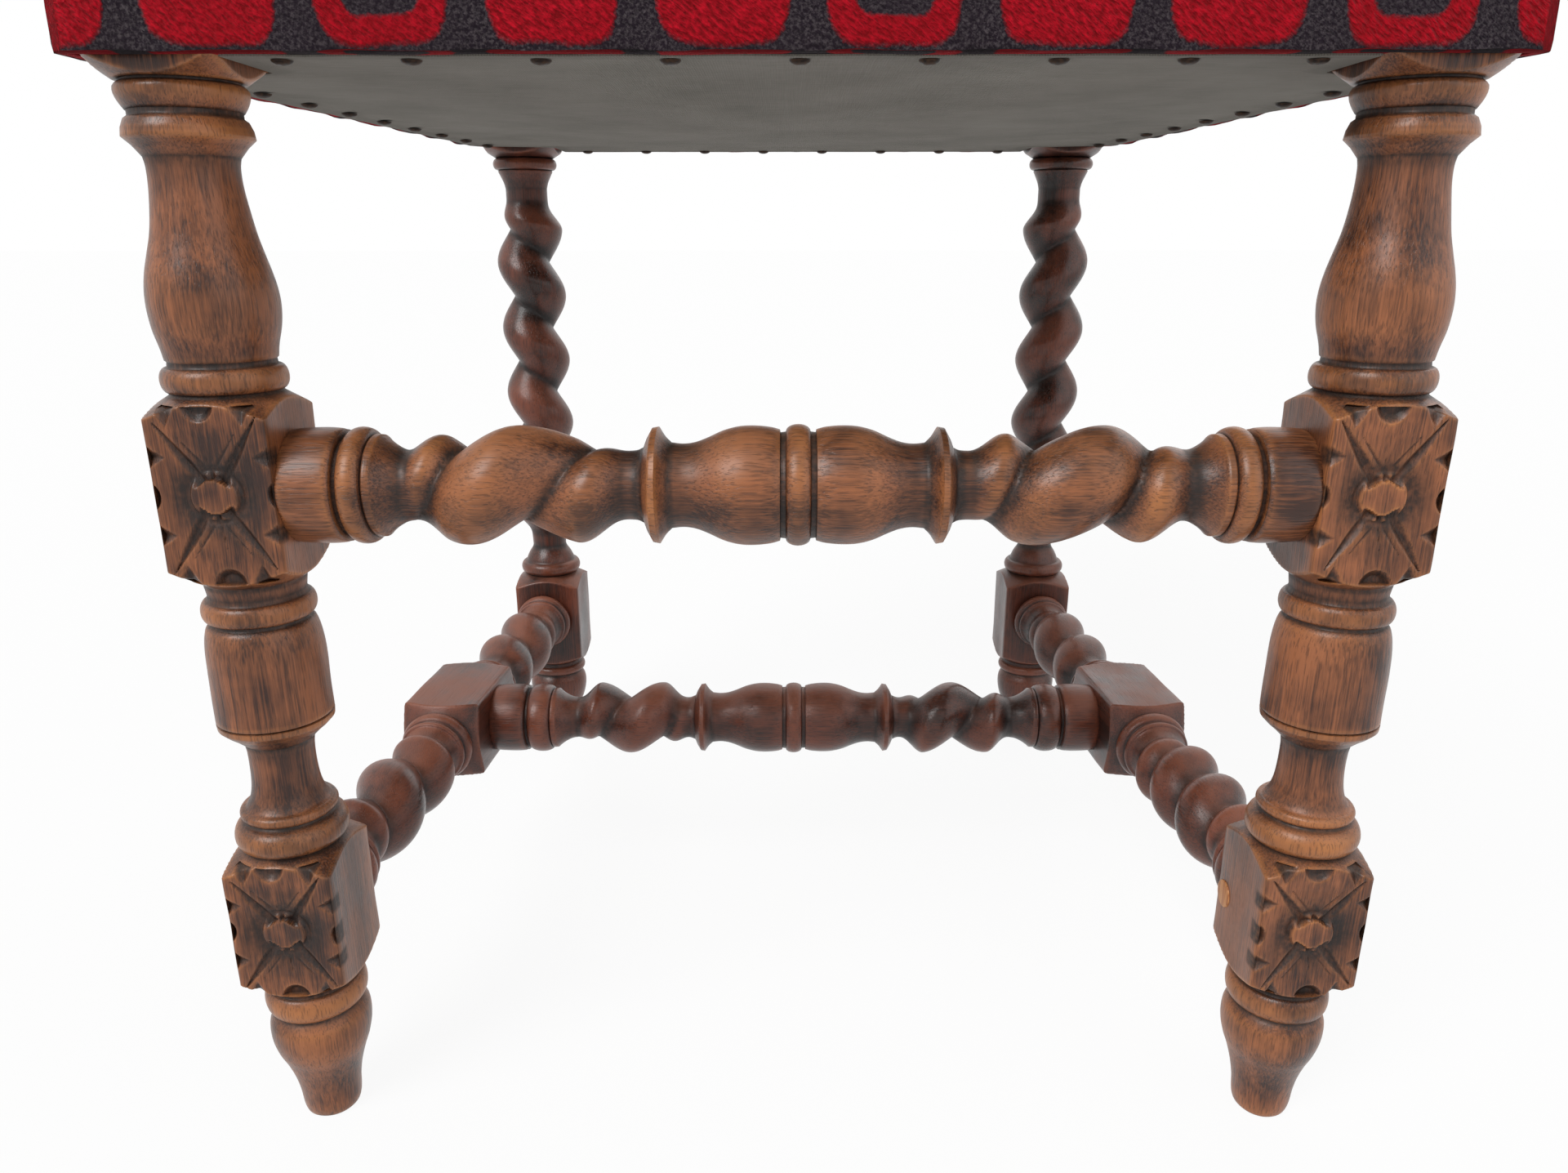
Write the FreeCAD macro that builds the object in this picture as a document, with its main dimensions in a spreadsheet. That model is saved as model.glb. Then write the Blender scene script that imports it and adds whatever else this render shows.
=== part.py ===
import FreeCAD, Part
import Sketcher
import math
import os
import re

# An oak side chair with twist-turned legs and an upholstered seat and back.
# Millimetres, +Z up, the front faces -Y, the origin lies on the floor below the middle.

Vector = FreeCAD.Vector
UP = Vector(0, 0, 1)
SIDES = {"left": -1, "right": 1}
CORNER_REACH = 0.75  # of a square's side: just beyond its corners
STEPS_PER_TURN = 12
# A long twist is joined from lengths of at most this many turns
TURNS_PER_LENGTH = 3

doc = FreeCAD.newDocument("side_chair")
sizes = doc.addObject("Spreadsheet::Sheet", "Sizes")

# Driving sizes: name, value, meaning
DRIVING = [
    ("front_spacing", 420, "between the front leg centres"),
    ("rear_spacing", 362, "between the rear leg centres"),
    ("leg_depth", 389, "front leg centres to rear leg centres"),
    ("front_square", 44, "side of a front leg's square"),
    ("rear_square", 46, "side of a rear leg's square"),
    ("post_square", 42, "side of a back post's square"),
    ("pommel_rise", 2.5, "height of the sloped shoulder at a square"),
    # Front leg
    ("lower_block_bottom", 72.5, "floor to the lower square"),
    ("lower_block_height", 60, "height of the lower square"),
    ("upper_block_bottom", 252, "floor to the upper square"),
    ("upper_block_height", 65, "height of the upper square"),
    ("foot_end_radius", 11.2, "foot at the floor"),
    ("foot_waist_radius", 12.6, "foot above its worn end"),
    ("foot_waist_height", 12, "floor to the end of the worn stretch"),
    ("foot_bulb_radius", 20.8, "foot bulb at its widest"),
    ("foot_bulb_neck", 17.2, "foot bulb at its ends"),
    ("foot_bulb_bottom", 30, "floor to the bulb"),
    ("foot_bulb_top", 54, "floor to the top of the bulb"),
    ("foot_ring_radius", 19.6, "ring above the foot bulb"),
    ("foot_ring_height", 8, "height of that ring"),
    ("collar_radius", 19, "turned wood where it leaves a square"),
    ("base_ring_radius", 22.4, "large ring on the lower square"),
    ("base_ring_height", 11, "height of that ring"),
    ("small_ring_radius", 18.6, "small ring above it"),
    ("small_ring_height", 4, "height of the small ring"),
    ("small_ring_neck", 16.4, "turned wood at the small ring"),
    ("flare_height", 17, "height of the hollow flare under the neck"),
    ("neck_radius", 12.6, "neck between the squares"),
    ("neck_height", 15, "height of that neck"),
    ("drum_radius", 22.4, "drum at its widest"),
    ("drum_bevel", 3, "bevel under the drum"),
    ("drum_line_rise", 5, "drum's underside to the line cut round it"),
    ("drum_line_depth", 0.8, "depth of that line"),
    ("drum_shoulder_share", 0.58, "where the drum's rounded top starts, as a share of its height"),
    ("drum_top_radius", 20, "drum at its top"),
    ("quirk_radius", 18.4, "bottom of a narrow groove between mouldings"),
    ("quirk_height", 2, "width of such a groove"),
    ("hollow_ease", 1, "how far the middle of a hollow stands off its neck"),
    ("drum_collar_radius", 20.8, "ring above the drum"),
    ("drum_collar_height", 9, "height of that ring"),
    ("drum_collar_gap", 7.5, "that ring to the shoulder of the square above"),
    ("vase_ring_radius", 21.4, "ring on the upper square"),
    ("vase_ring_height", 9, "height of that ring"),
    ("vase_foot_radius", 18.6, "vase at its foot"),
    ("vase_belly_radius", 22, "vase at its widest"),
    ("vase_belly_share", 0.29, "where the vase is widest, as a share of its height"),
    ("vase_shoulder_radius", 18.3, "vase where it turns hollow"),
    ("vase_shoulder_share", 0.6, "where that is, as a share of its height"),
    ("vase_neck_radius", 14.7, "vase neck"),
    ("capital_hollow", 7, "vase neck to the ring above it"),
    ("capital_ring_radius", 20.4, "ring above the vase neck"),
    ("capital_ring_height", 7, "height of that ring"),
    ("capital_gap", 5, "groove between that ring and the moulding"),
    ("capital_groove_radius", 17.6, "wood in that groove"),
    ("capital_top_radius", 20.4, "moulding under the seat"),
    ("capital_top_height", 7, "height of that moulding"),
    # Carving on the front leg squares
    ("carving_depth", 2, "depth of the carved grooves"),
    ("groove_start", 5.5, "carved groove's inner end from the middle"),
    ("groove_width", 4, "carved groove at its widest"),
    ("groove_margin", 5, "carved groove's outer end from the square's edge"),
    # Rear leg
    ("rear_block_bottom", 67, "floor to the rear lower square"),
    ("rear_block_height", 65, "height of the rear lower square"),
    ("rear_ring_radius", 21.5, "ring on the rear lower square"),
    ("rear_ring_height", 9, "height of that ring"),
    ("rear_cone_radius", 17.5, "cone above that ring"),
    ("rear_cone_height", 11, "height of the cone"),
    ("rear_neck_radius", 12.2, "neck at the bottom of the leg twist"),
    ("rear_neck_height", 9, "height of the plain neck"),
    ("rear_top_neck_radius", 13.8, "neck at the top of the leg twist"),
    ("rear_top_neck_height", 8, "height of that neck"),
    ("rear_capital_height", 12, "hollow under the rear capital ring"),
    ("rear_capital_radius", 21, "rear capital ring"),
    ("rear_capital_ring", 8, "height of the rear capital ring"),
    # Barley twists
    ("twist_core", 9, "round core inside every twist"),
    ("leg_twist_section", 17.3, "radius of the leg twist's round section"),
    ("leg_twist_throw", 5.2, "how far that section stands off the axis"),
    ("leg_twist_pitch", 44.2, "height of one turn of the leg twist"),
    ("leg_twist_phase", 89, "where the twist points half-way up, in degrees"),
    ("twist_run_out", 20, "stretch in which a twist fades into its neck"),
    # Stretchers
    ("tenon_radius", 8, "round tenon on a stretcher"),
    ("tenon_length", 18, "length of a stretcher's tenon"),
    ("tenon_clearance", 0.1, "play round a tenon"),
    ("tenon_bottom_gap", 0.5, "room at the bottom of a mortise"),
    ("front_drum_radius", 21.6, "front stretcher's end drum"),
    ("front_drum_length", 19, "length of that drum"),
    ("front_quirk_radius", 20, "grooves in the front stretcher"),
    ("front_quirk_width", 1.6, "width of those grooves"),
    ("front_torus_radius", 22, "front stretcher's end ring"),
    ("front_torus_length", 9, "length of that ring"),
    ("front_fillet_radius", 18.6, "small step inside the end ring"),
    ("front_fillet_length", 3.5, "length of that step"),
    ("front_cone_length", 11, "cone down to the neck"),
    ("front_neck_radius", 13, "neck at the ends of the twist"),
    ("front_twist_inner", 68, "middle to the inner end of the twist"),
    ("front_twist_section", 17.4, "radius of the twist's round section"),
    ("front_twist_throw", 4.7, "how far that section stands off the axis"),
    ("front_twist_pitch", 37, "length of one turn"),
    ("front_twist_phase_left", 180, "where the left twist points at its middle, in degrees"),
    ("front_twist_phase_right", 244, "where the right twist points at its middle, in degrees"),
    ("front_ring_radius", 22.2, "sharp ring between twist and vase"),
    ("front_ring_length", 9, "length of that ring"),
    ("front_ring_place", 53, "middle to that ring"),
    ("front_waist_radius", 15.8, "neck between ring and vase"),
    ("front_waist_place", 43, "middle to the start of the vase"),
    ("front_vase_radius", 22.5, "vase at its widest"),
    ("front_vase_place", 18, "middle to the vase's widest point"),
    ("front_vase_end", 8.5, "middle to the vase's inner end"),
    ("vase_end_drop", 1, "fall of the vase to its inner end"),
    ("vase_foot_rise", 2, "rise from the neck to the foot of the vase"),
    ("ring_slope", 2, "fall of the sharp ring beside its edge"),
    ("front_bead_radius", 22.9, "ring in the middle"),
    ("front_bead_half", 4.6, "half that ring's length"),
    ("cross_scale", 0.9, "cross stretcher's turning beside the front stretcher's"),
    ("cross_drum_length", 20, "cross stretcher's end drum"),
    ("cross_torus_length", 13, "cross stretcher's end ring"),
    ("cross_twist_inner", 62, "middle to the inner end of the cross twist"),
    ("cross_twist_phase_left", 322, "where the left twist points at its middle, in degrees"),
    ("cross_twist_phase_right", 142, "where the right twist points at its middle, in degrees"),
    ("stretcher_height", 103, "floor to the axis of the low stretchers"),
    ("cross_place", 191, "front leg centres to the cross stretcher"),
    ("middle_square", 43, "square in the middle of a side stretcher"),
    ("middle_block_length", 66, "length of that square"),
    ("arm_ring_radius", 19.4, "ring beside a square on the side stretcher"),
    ("arm_ring_length", 8, "length of that ring"),
    ("arm_step_radius", 17.6, "step beside that ring"),
    ("arm_step_length", 5, "length of that step"),
    ("arm_cone_length", 7, "cone down to the neck"),
    ("arm_neck_radius", 13.5, "neck at the ends of the twist"),
    ("arm_twist_section", 16.2, "radius of the twist's round section"),
    ("arm_twist_throw", 4.4, "how far that section stands off the axis"),
    ("arm_twist_turns", 2.2, "turns in each side stretcher twist"),
    ("arm_overrun", 2, "side stretcher before it is cut to the leg's face"),
    ("plug_radius", 6, "repair plug in the right front leg"),
    ("plug_depth", 9, "depth of the repair plug"),
    ("plug_drop", 4, "middle of the lower square down to the plug"),
    ("plug_back", 14, "leg centre back to the plug"),
    # Seat frame
    ("seat_underside", 430.5, "floor to the underside of the rails"),
    ("seat_block_show", 4, "leg square below the rails"),
    ("rail_height", 48.5, "height of the seat rails"),
    ("rail_thickness", 22, "thickness of the seat rails"),
    ("rail_tenon_thickness", 10, "thickness of a rail's tenon"),
    ("rail_tenon_shoulder", 8, "rail edge to tenon, above and below"),
    ("rail_tenon_length", 17, "length of a rail's tenon"),
    ("brace_reach", 86, "leg centre to the far end of a corner block"),
    ("brace_width", 32, "width of a corner block along the rail"),
    ("brace_height", 30, "height of a corner block"),
    ("brace_drop", 10, "rail top down to a corner block"),
    ("screw_radius", 2, "shank of a corner block screw"),
    ("screw_length", 22, "length of a corner block screw"),
    ("screw_head_radius", 4, "head of a corner block screw"),
    ("screw_head_height", 2.5, "height of that head"),
    ("web_width", 50, "width of the webbing"),
    ("web_thickness", 1.2, "thickness of the webbing"),
    ("web_gap", 28, "gap between strips of webbing"),
    ("hessian_thickness", 1, "thickness of the hessian"),
    ("stuffing_height", 22, "stuffing above the hessian at the crown"),
    ("stuffing_drop", 9, "fall of the crown to the corners"),
    ("stuffing_round", 8, "rounded edge of the stuffing"),
    ("crown_shoulder", 32, "padding's edge to where its crown levels off"),
    ("crown_flat", 72, "padding's edge to its flat middle"),
    ("cover_thickness", 1.8, "thickness of the seat cloth"),
    ("cover_gap", 0.3, "seat cloth to what it covers"),
    ("cover_lip", 4, "seat cloth turned under the rails"),
    ("dust_inset", 5.5, "rail's outer face to the dust cloth"),
    ("dust_thickness", 0.8, "thickness of the dust cloth"),
    ("tack_spacing", 40, "between the tacks under the seat"),
    ("tack_inset", 5, "dust cloth's edge to the tacks"),
    ("tack_end_inset", 18, "leg to the first tack of a row"),
    ("tack_head_radius", 3.6, "head of a tack"),
    ("tack_crown_radius", 2.2, "flat crown of that head"),
    ("tack_head_height", 1.3, "height of a tack's head"),
    ("tack_shank_radius", 0.8, "shank of a tack"),
    ("tack_shank_length", 11, "length of a tack's shank"),
    # Back
    ("rake_angle", 6, "lean of the back, in degrees"),
    ("rake_start", 490, "floor to the bend of the back posts"),
    ("post_length", 530, "bend to the tip of a post"),
    ("post_foot", 22, "bend to the top of the square at the seat"),
    ("post_mid_bottom", 108, "bend to the post's middle square"),
    ("post_mid_height", 58, "height of that square"),
    ("post_top_height", 58, "height of the post's top square"),
    ("finial_height", 62, "top square to the tip of a post"),
    ("post_ring_radius", 18.6, "rings beside the post's squares"),
    ("post_ring_height", 7, "height of those rings"),
    ("post_neck_radius", 11.8, "necks at the ends of the post twists"),
    ("post_neck_height", 7, "height of those necks"),
    ("post_twist_section", 14.6, "radius of the post twist's round section"),
    ("post_twist_throw", 4.4, "how far that section stands off the axis"),
    ("finial_neck_radius", 9.5, "finial under its ball"),
    ("finial_neck_height", 8, "height of that neck"),
    ("finial_radius", 17.5, "finial's ball"),
    ("back_rail_height", 44, "height of the back rails"),
    ("back_rail_thickness", 20, "thickness of the back rails"),
    ("stile_width", 22, "width of the upright strips of the back frame"),
    ("back_web_gap", 24, "gap between strips of webbing in the back"),
    ("back_stuffing_depth", 20, "stuffing in front of the back frame"),
    ("back_stuffing_round", 8, "rounded edge of the back stuffing"),
    ("back_side_gap", 1, "back upholstery to the posts"),
]

# Measures worked out from the driving sizes
HALF_FRONT = "front_spacing / 2"
HALF_REAR = "rear_spacing / 2"
BACK_SPAN = "sin(rake_angle * 1 deg) * post_length + cos(rake_angle * 1 deg) * finial_radius"
FRONT_SPAN = "front_square / 2 + cover_thickness + cover_gap"
FRONT_Y = "(%s - leg_depth - %s) / 2" % ("(" + FRONT_SPAN + ")", "(" + BACK_SPAN + ")")
REAR_Y = "(%s) + leg_depth" % FRONT_Y
SEAT_BLOCK = "seat_underside - seat_block_show"
RAIL_TOP = "seat_underside + rail_height"
LOWER_TOP = "lower_block_bottom + lower_block_height"
UPPER_TOP = "upper_block_bottom + upper_block_height"
FRONT_STRETCHER_HEIGHT = "upper_block_bottom + upper_block_height / 2"
REAR_TOP = "rear_block_bottom + rear_block_height"
LEG_TWIST_START = REAR_TOP + " + pommel_rise + rear_ring_height + rear_cone_height + rear_neck_height"
LEG_TWIST_END = ("seat_underside - seat_block_show - pommel_rise - rear_capital_ring - rear_capital_height"
                 " - rear_top_neck_height")
MIDDLE_HALF_X = "(front_spacing + (rear_spacing - front_spacing) * cross_place / leg_depth) / 2"
WEB_TOP = RAIL_TOP + " + 2 * web_thickness"
HESSIAN_TOP = WEB_TOP + " + hessian_thickness"
STUFFING_TOP = HESSIAN_TOP + " + stuffing_height"
POST_MID_TOP = "post_mid_bottom + post_mid_height"
POST_TOP_TOP = "post_length - finial_height"
POST_TOP_BOTTOM = "post_length - finial_height - post_top_height"
BACK_LOW = "post_mid_bottom + post_mid_height / 2"
BACK_HIGH = "post_length - finial_height - post_top_height / 2"
POST_TWIST_END = "post_ring_height + pommel_rise + post_neck_height"

SIDE_SLOPE = ("((rear_spacing - front_spacing) / 2 + (rear_square - front_square) / 2)"
              " / (leg_depth - front_square / 2 - rear_square / 2)")
AXIS_LENGTH = "sqrt(leg_depth ^ 2 + ((front_spacing - rear_spacing) / 2) ^ 2)"
BLOCK_MIDDLE = AXIS_LENGTH + " * cross_place / leg_depth"
BLOCK_START = BLOCK_MIDDLE + " - middle_block_length / 2"
BLOCK_END = BLOCK_MIDDLE + " + middle_block_length / 2"
ARM_FRONT = "front_square / 2 - arm_overrun"
ARM_REAR = AXIS_LENGTH + " - rear_square / 2 + arm_overrun"

nodes = []


def write_sizes():
    """Fill the sheet, one row for each driving size."""
    for row, (name, value, meaning) in enumerate(DRIVING, start=1):
        sizes.set("A%d" % row, name)
        sizes.set("B%d" % row, str(value))
        sizes.set("C%d" % row, meaning)
        sizes.setAlias("B%d" % row, name)
    doc.recompute()


def rule(text):
    """Write a formula of size names so that any object can be bound to it."""
    return re.sub(r"\b([a-z]+_[a-z_]+)\b", r"Sizes.\1", text)


def size(text):
    """The value of a formula of size names."""
    value = sizes.evalExpression(rule(text))
    return float(getattr(value, "Value", value))


def bind(item, prop, text):
    item.setExpression(prop, rule(text))


def node(item, label):
    """Name a finished sub-part."""
    item.Label = label
    nodes.append(item)
    return item


def plane_of(body, role):
    return next(plane for plane in body.Origin.OriginFeatures if plane.Role == role)


def outline_sketch(body, name, role, outlines, offset="0"):
    """A sketch of closed outlines; a point marked arc is the middle of an arc."""
    sketch = body.newObject("Sketcher::SketchObject", name)
    sketch.AttachmentSupport = (plane_of(body, role), [""])
    sketch.MapMode = "FlatFace"
    bind(sketch, "AttachmentOffset.Base.z", offset)
    for points in outlines:
        draw_outline(sketch, points)
    doc.recompute()
    return sketch


def draw_outline(sketch, points):
    corners = [point for point in points if len(point) == 2]
    middles = {}
    for index, point in enumerate(points):
        if len(point) == 3:
            middles[points[index - 1]] = point
    place = {point: Vector(size(point[0]), size(point[1]), 0) for point in points}
    edges = []
    for index, corner in enumerate(corners):
        after = corners[(index + 1) % len(corners)]
        if corner in middles:
            curve = Part.Arc(place[corner], place[middles[corner]], place[after])
        else:
            curve = Part.LineSegment(place[corner], place[after])
        number = sketch.addGeometry(curve, False)
        forward = (sketch.getPoint(number, 1) - place[corner]).Length < 1e-6
        edges.append((number, 1 if forward else 2, 2 if forward else 1))
    for index, corner in enumerate(corners):
        number, start, _ = edges[index]
        before, _, end = edges[index - 1]
        sketch.addConstraint(Sketcher.Constraint("Coincident", before, end, number, start))
        fix_point(sketch, number, start, corner, place[corner])
        if corner in middles:
            middle = middles[corner]
            spot = sketch.addGeometry(Part.Point(place[middle]), True)
            sketch.addConstraint(Sketcher.Constraint("PointOnObject", spot, 1, number))
            fix_point(sketch, spot, 1, middle, place[middle])


def fix_point(sketch, number, position, point, place):
    """Tie a sketch point to its two formulas."""
    for kind, value, text in (("DistanceX", place.x, point[0]), ("DistanceY", place.y, point[1])):
        if text == "0":
            axis = -2 if kind == "DistanceX" else -1
            sketch.addConstraint(Sketcher.Constraint("PointOnObject", number, position, axis))
        else:
            index = sketch.addConstraint(
                Sketcher.Constraint(kind, -1, 1, number, position, value))
            bind(sketch, "Constraints[%d]" % index, text)


def pad(body, name, role, outline, length, offset="0", midplane=False):
    feature = body.newObject("PartDesign::Pad", name)
    feature.Profile = outline_sketch(body, name + "_outline", role, [outline], offset)
    bind(feature, "Length", length)
    feature.Midplane = midplane
    doc.recompute()
    return feature


def rectangle(half_x, half_y):
    """Outline of a rectangle round the middle."""
    left, down = "-(%s)" % half_x, "-(%s)" % half_y
    return [(left, down), (half_x, down), (half_x, half_y), (left, half_y)]


def beyond(side):
    """A radius that clears the corners of a square."""
    return "(%s) * %s" % (side, CORNER_REACH)


def turn(body, name, side, profile):
    """Turn a stretch of a square billet: the profile runs up the axis as radius and height."""
    clear = beyond(side)
    outline = [(clear, profile[0][1])] + profile + [(clear, profile[-1][1])]
    if profile[-1][0] == clear:
        outline.pop()
    if profile[0][0] == clear:
        outline.pop(0)
    before = body.Shape.Volume
    groove = body.newObject("PartDesign::Groove", name)
    groove.Profile = outline_sketch(body, name + "_outline", "XZ_Plane", [outline])
    groove.ReferenceAxis = (groove.Profile[0], ["V_Axis"])
    groove.Angle = 360
    doc.recompute()
    if not body.Shape.Volume < before:
        raise RuntimeError("the turned stretch %s cut nothing" % name)


def billet(label, side, length, start="0"):
    """A square billet along its own Z axis."""
    body = doc.addObject("PartDesign::Body", label)
    half = "(%s) / 2" % side
    pad(body, label + "_square", "XY_Plane", rectangle(half, half), length, start)
    return body


def plus(*parts):
    return " + ".join("(%s)" % part for part in parts)


def minus(first, *parts):
    return first + "".join(" - (%s)" % part for part in parts)


def share_of(low, high, share):
    """A height that lies at a share of the way from a lower one to a higher one."""
    return "(%s) + ((%s) - (%s)) * %s" % (low, high, low, share)


def shoulder_up(side, height):
    """From the corners of a square up to its turned neck."""
    return [(beyond(side), height), ("collar_radius", plus(height, "pommel_rise"))]


def shoulder_down(side, height):
    """From a turned neck up to the corners of the square above it."""
    return [("collar_radius", minus(height, "pommel_rise")), (beyond(side), height)]


def twist(label, bottom, top, pitch, section, throw, necks, phase, hand):
    """A barley twist: a round section carried round the axis as it climbs."""
    low, high = size(bottom), size(top)
    run_out = size("twist_run_out")
    middle = (low + high) / 2
    steps = math.ceil((high - low) / pitch * STEPS_PER_TURN)
    wires = []
    for step in range(steps + 1):
        height = low + (high - low) * step / steps
        nearest = min(height - low, high - height)
        share = min(1.0, nearest / run_out)
        share = share * share * (3 - 2 * share)
        neck = necks[0] if height < middle else necks[1]
        radius = neck + (section - neck) * share
        angle = math.radians(phase) + hand * 2 * math.pi * (height - middle) / pitch
        reach = throw * share
        centre = Vector(reach * math.cos(angle), reach * math.sin(angle), height)
        wires.append(Part.Wire(Part.Circle(centre, UP, radius).toShape()))
    lengths = math.ceil(steps / (TURNS_PER_LENGTH * STEPS_PER_TURN))
    ends = [steps * length // lengths for length in range(lengths + 1)]
    lofts = [Part.makeLoft(wires[first:last + 1], True, False) for first, last in zip(ends, ends[1:])]
    feature = doc.addObject("Part::Feature", label)
    feature.Shape = lofts[0].multiFuse(lofts[1:]) if lengths > 1 else lofts[0]
    return feature


def fuse(label, parts):
    feature = doc.addObject("Part::MultiFuse", label)
    feature.Shapes = parts
    doc.recompute()
    return feature


def cut(label, base, tool):
    feature = doc.addObject("Part::Cut", label)
    feature.Base = base
    feature.Tool = tool
    doc.recompute()
    return feature


def shape_feature(label, shape, placement=None):
    feature = doc.addObject("Part::Feature", label)
    feature.Shape = shape
    if placement is not None:
        feature.Placement = placement
    return feature


def place(item, x, y, z="0"):
    """Bind where an object stands."""
    bind(item, "Placement.Base.x", x)
    bind(item, "Placement.Base.y", y)
    bind(item, "Placement.Base.z", z)


def back_frame(x=0.0, y=0.0, z=0.0):
    """Placement in the leaning frame of the back, whose origin is the bend of the posts."""
    lean = FreeCAD.Rotation(Vector(1, 0, 0), -size("rake_angle"))
    frame = FreeCAD.Placement(Vector(0, size(REAR_Y), size("rake_start")), lean)
    return frame * FreeCAD.Placement(Vector(x, y, z), FreeCAD.Rotation())


# Front legs

def foot_profile(side, block_bottom):
    """Foot bulb, ring and shoulder below a leg's lowest square."""
    ring_top = "foot_bulb_top + quirk_height + foot_ring_height"
    return [
        ("foot_end_radius", "0"),
        ("foot_waist_radius", "foot_waist_height"),
        ("foot_bulb_neck", "foot_bulb_bottom"),
        ("foot_bulb_radius", "(foot_bulb_bottom + foot_bulb_top) / 2", "arc"),
        ("foot_bulb_neck", "foot_bulb_top"),
        ("foot_bulb_neck", "foot_bulb_top + quirk_height"),
        ("foot_ring_radius", "foot_bulb_top + quirk_height + foot_ring_height / 2", "arc"),
        ("foot_bulb_neck", ring_top),
    ] + shoulder_down(side, block_bottom)


def front_middle_profile():
    """Base rings, flared neck, drum and collar between the two carved squares."""
    ring_start = plus(LOWER_TOP, "pommel_rise")
    ring_end = plus(ring_start, "base_ring_height")
    small_start = plus(ring_end, "quirk_height")
    small_end = plus(small_start, "small_ring_height")
    flare_end = plus(small_end, "flare_height")
    drum_bottom = plus(flare_end, "neck_height", "quirk_height")
    line = plus(drum_bottom, "drum_line_rise")
    collar_end = minus("upper_block_bottom", "pommel_rise", "drum_collar_gap")
    collar_start = minus(collar_end, "drum_collar_height")
    drum_top = minus(collar_start, "quirk_height")
    shoulder = share_of(drum_bottom, drum_top, "drum_shoulder_share")
    return shoulder_up("front_square", LOWER_TOP) + [
        ("base_ring_radius", plus(ring_start, "base_ring_height / 2"), "arc"),
        ("collar_radius", ring_end),
        ("small_ring_neck", small_start),
        ("small_ring_radius", plus(small_start, "small_ring_height / 2"), "arc"),
        ("small_ring_neck", small_end),
        ("neck_radius + hollow_ease", plus(small_end, "flare_height / 3"), "arc"),
        ("neck_radius", flare_end),
        ("neck_radius", plus(flare_end, "neck_height")),
        ("drum_radius - drum_bevel", drum_bottom),
        ("drum_radius", plus(drum_bottom, "drum_bevel")),
        ("drum_radius - drum_line_depth", line),
        ("drum_radius", plus(line, "drum_line_depth")),
        ("drum_radius", shoulder),
        ("(drum_radius * 2 + drum_top_radius) / 3", share_of(shoulder, drum_top, "0.5"), "arc"),
        ("drum_top_radius", drum_top),
        ("quirk_radius", collar_start),
        ("drum_collar_radius", plus(collar_start, "drum_collar_height / 2"), "arc"),
        ("quirk_radius", collar_end),
    ] + shoulder_down("front_square", "upper_block_bottom")


def front_top_profile():
    """Ring, vase, hollow neck and capital rings between the upper square and the seat."""
    ring_start = plus(UPPER_TOP, "pommel_rise")
    ring_end = plus(ring_start, "vase_ring_height")
    top_start = minus(SEAT_BLOCK, "pommel_rise", "capital_top_height")
    capital_end = minus(top_start, "capital_gap")
    capital_start = minus(capital_end, "capital_ring_height")
    foot = plus(ring_end, "quirk_height")
    neck = minus(capital_start, "capital_hollow")
    shoulder = share_of(foot, neck, "vase_shoulder_share")
    return shoulder_up("front_square", UPPER_TOP) + [
        ("vase_ring_radius", plus(ring_start, "vase_ring_height / 2"), "arc"),
        ("vase_foot_radius", ring_end),
        ("vase_foot_radius", foot),
        ("vase_belly_radius", share_of(foot, neck, "vase_belly_share"), "arc"),
        ("vase_shoulder_radius", shoulder),
        ("vase_neck_radius + hollow_ease", share_of(shoulder, neck, "0.5"), "arc"),
        ("vase_neck_radius", neck),
        ("capital_groove_radius", capital_start),
        ("capital_ring_radius", plus(capital_start, "capital_ring_height / 2"), "arc"),
        ("capital_groove_radius", capital_end),
        ("capital_groove_radius", top_start),
        ("capital_top_radius", plus(top_start, "capital_top_height / 2"), "arc"),
    ] + shoulder_down("front_square", SEAT_BLOCK)


def carve(body, name, bottom, height):
    """Four tapered grooves round a plain boss on the front face of a square."""
    middle = "(%s) + (%s) / 2" % (bottom, height)
    end_x = "front_square / 2 - groove_margin"
    end_z = "(%s) / 2 - groove_margin" % height
    outlines = []
    for across in ("", "-"):
        for up in ("+", "-"):
            def spot(x, z):
                return ("%s(%s)" % (across, x), "%s %s (%s)" % (middle, up, z))
            half_way_x = "(groove_start + %s) / 2" % end_x
            half_way_z = "(groove_start + %s) / 2" % end_z
            outlines.append([
                spot("groove_start", "groove_start"),
                spot(plus(half_way_x, "groove_width / 2"), minus(half_way_z, "groove_width / 2")),
                spot(end_x, end_z),
                spot(minus(half_way_x, "groove_width / 2"), plus(half_way_z, "groove_width / 2")),
            ])
    before = body.Shape.Volume
    pocket = body.newObject("PartDesign::Pocket", name)
    pocket.Profile = outline_sketch(body, name + "_outline", "XZ_Plane", outlines,
                                    "front_square / 2")
    bind(pocket, "Length", "carving_depth")
    doc.recompute()
    if not body.Shape.Volume < before:
        raise RuntimeError("the carving %s cut nothing" % name)


def front_leg(name, side):
    body = billet("front_billet_" + name, "front_square", RAIL_TOP)
    turn(body, "front_foot_" + name, "front_square",
         foot_profile("front_square", "lower_block_bottom"))
    turn(body, "front_middle_" + name, "front_square", front_middle_profile())
    turn(body, "front_vase_" + name, "front_square", front_top_profile())
    carve(body, "lower_carving_" + name, "lower_block_bottom", "lower_block_height")
    carve(body, "upper_carving_" + name, "upper_block_bottom", "upper_block_height")
    place(body, "%d * %s" % (side, HALF_FRONT), FRONT_Y)
    doc.recompute()
    return body


# Rear legs, each one piece with its leaning back post

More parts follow.
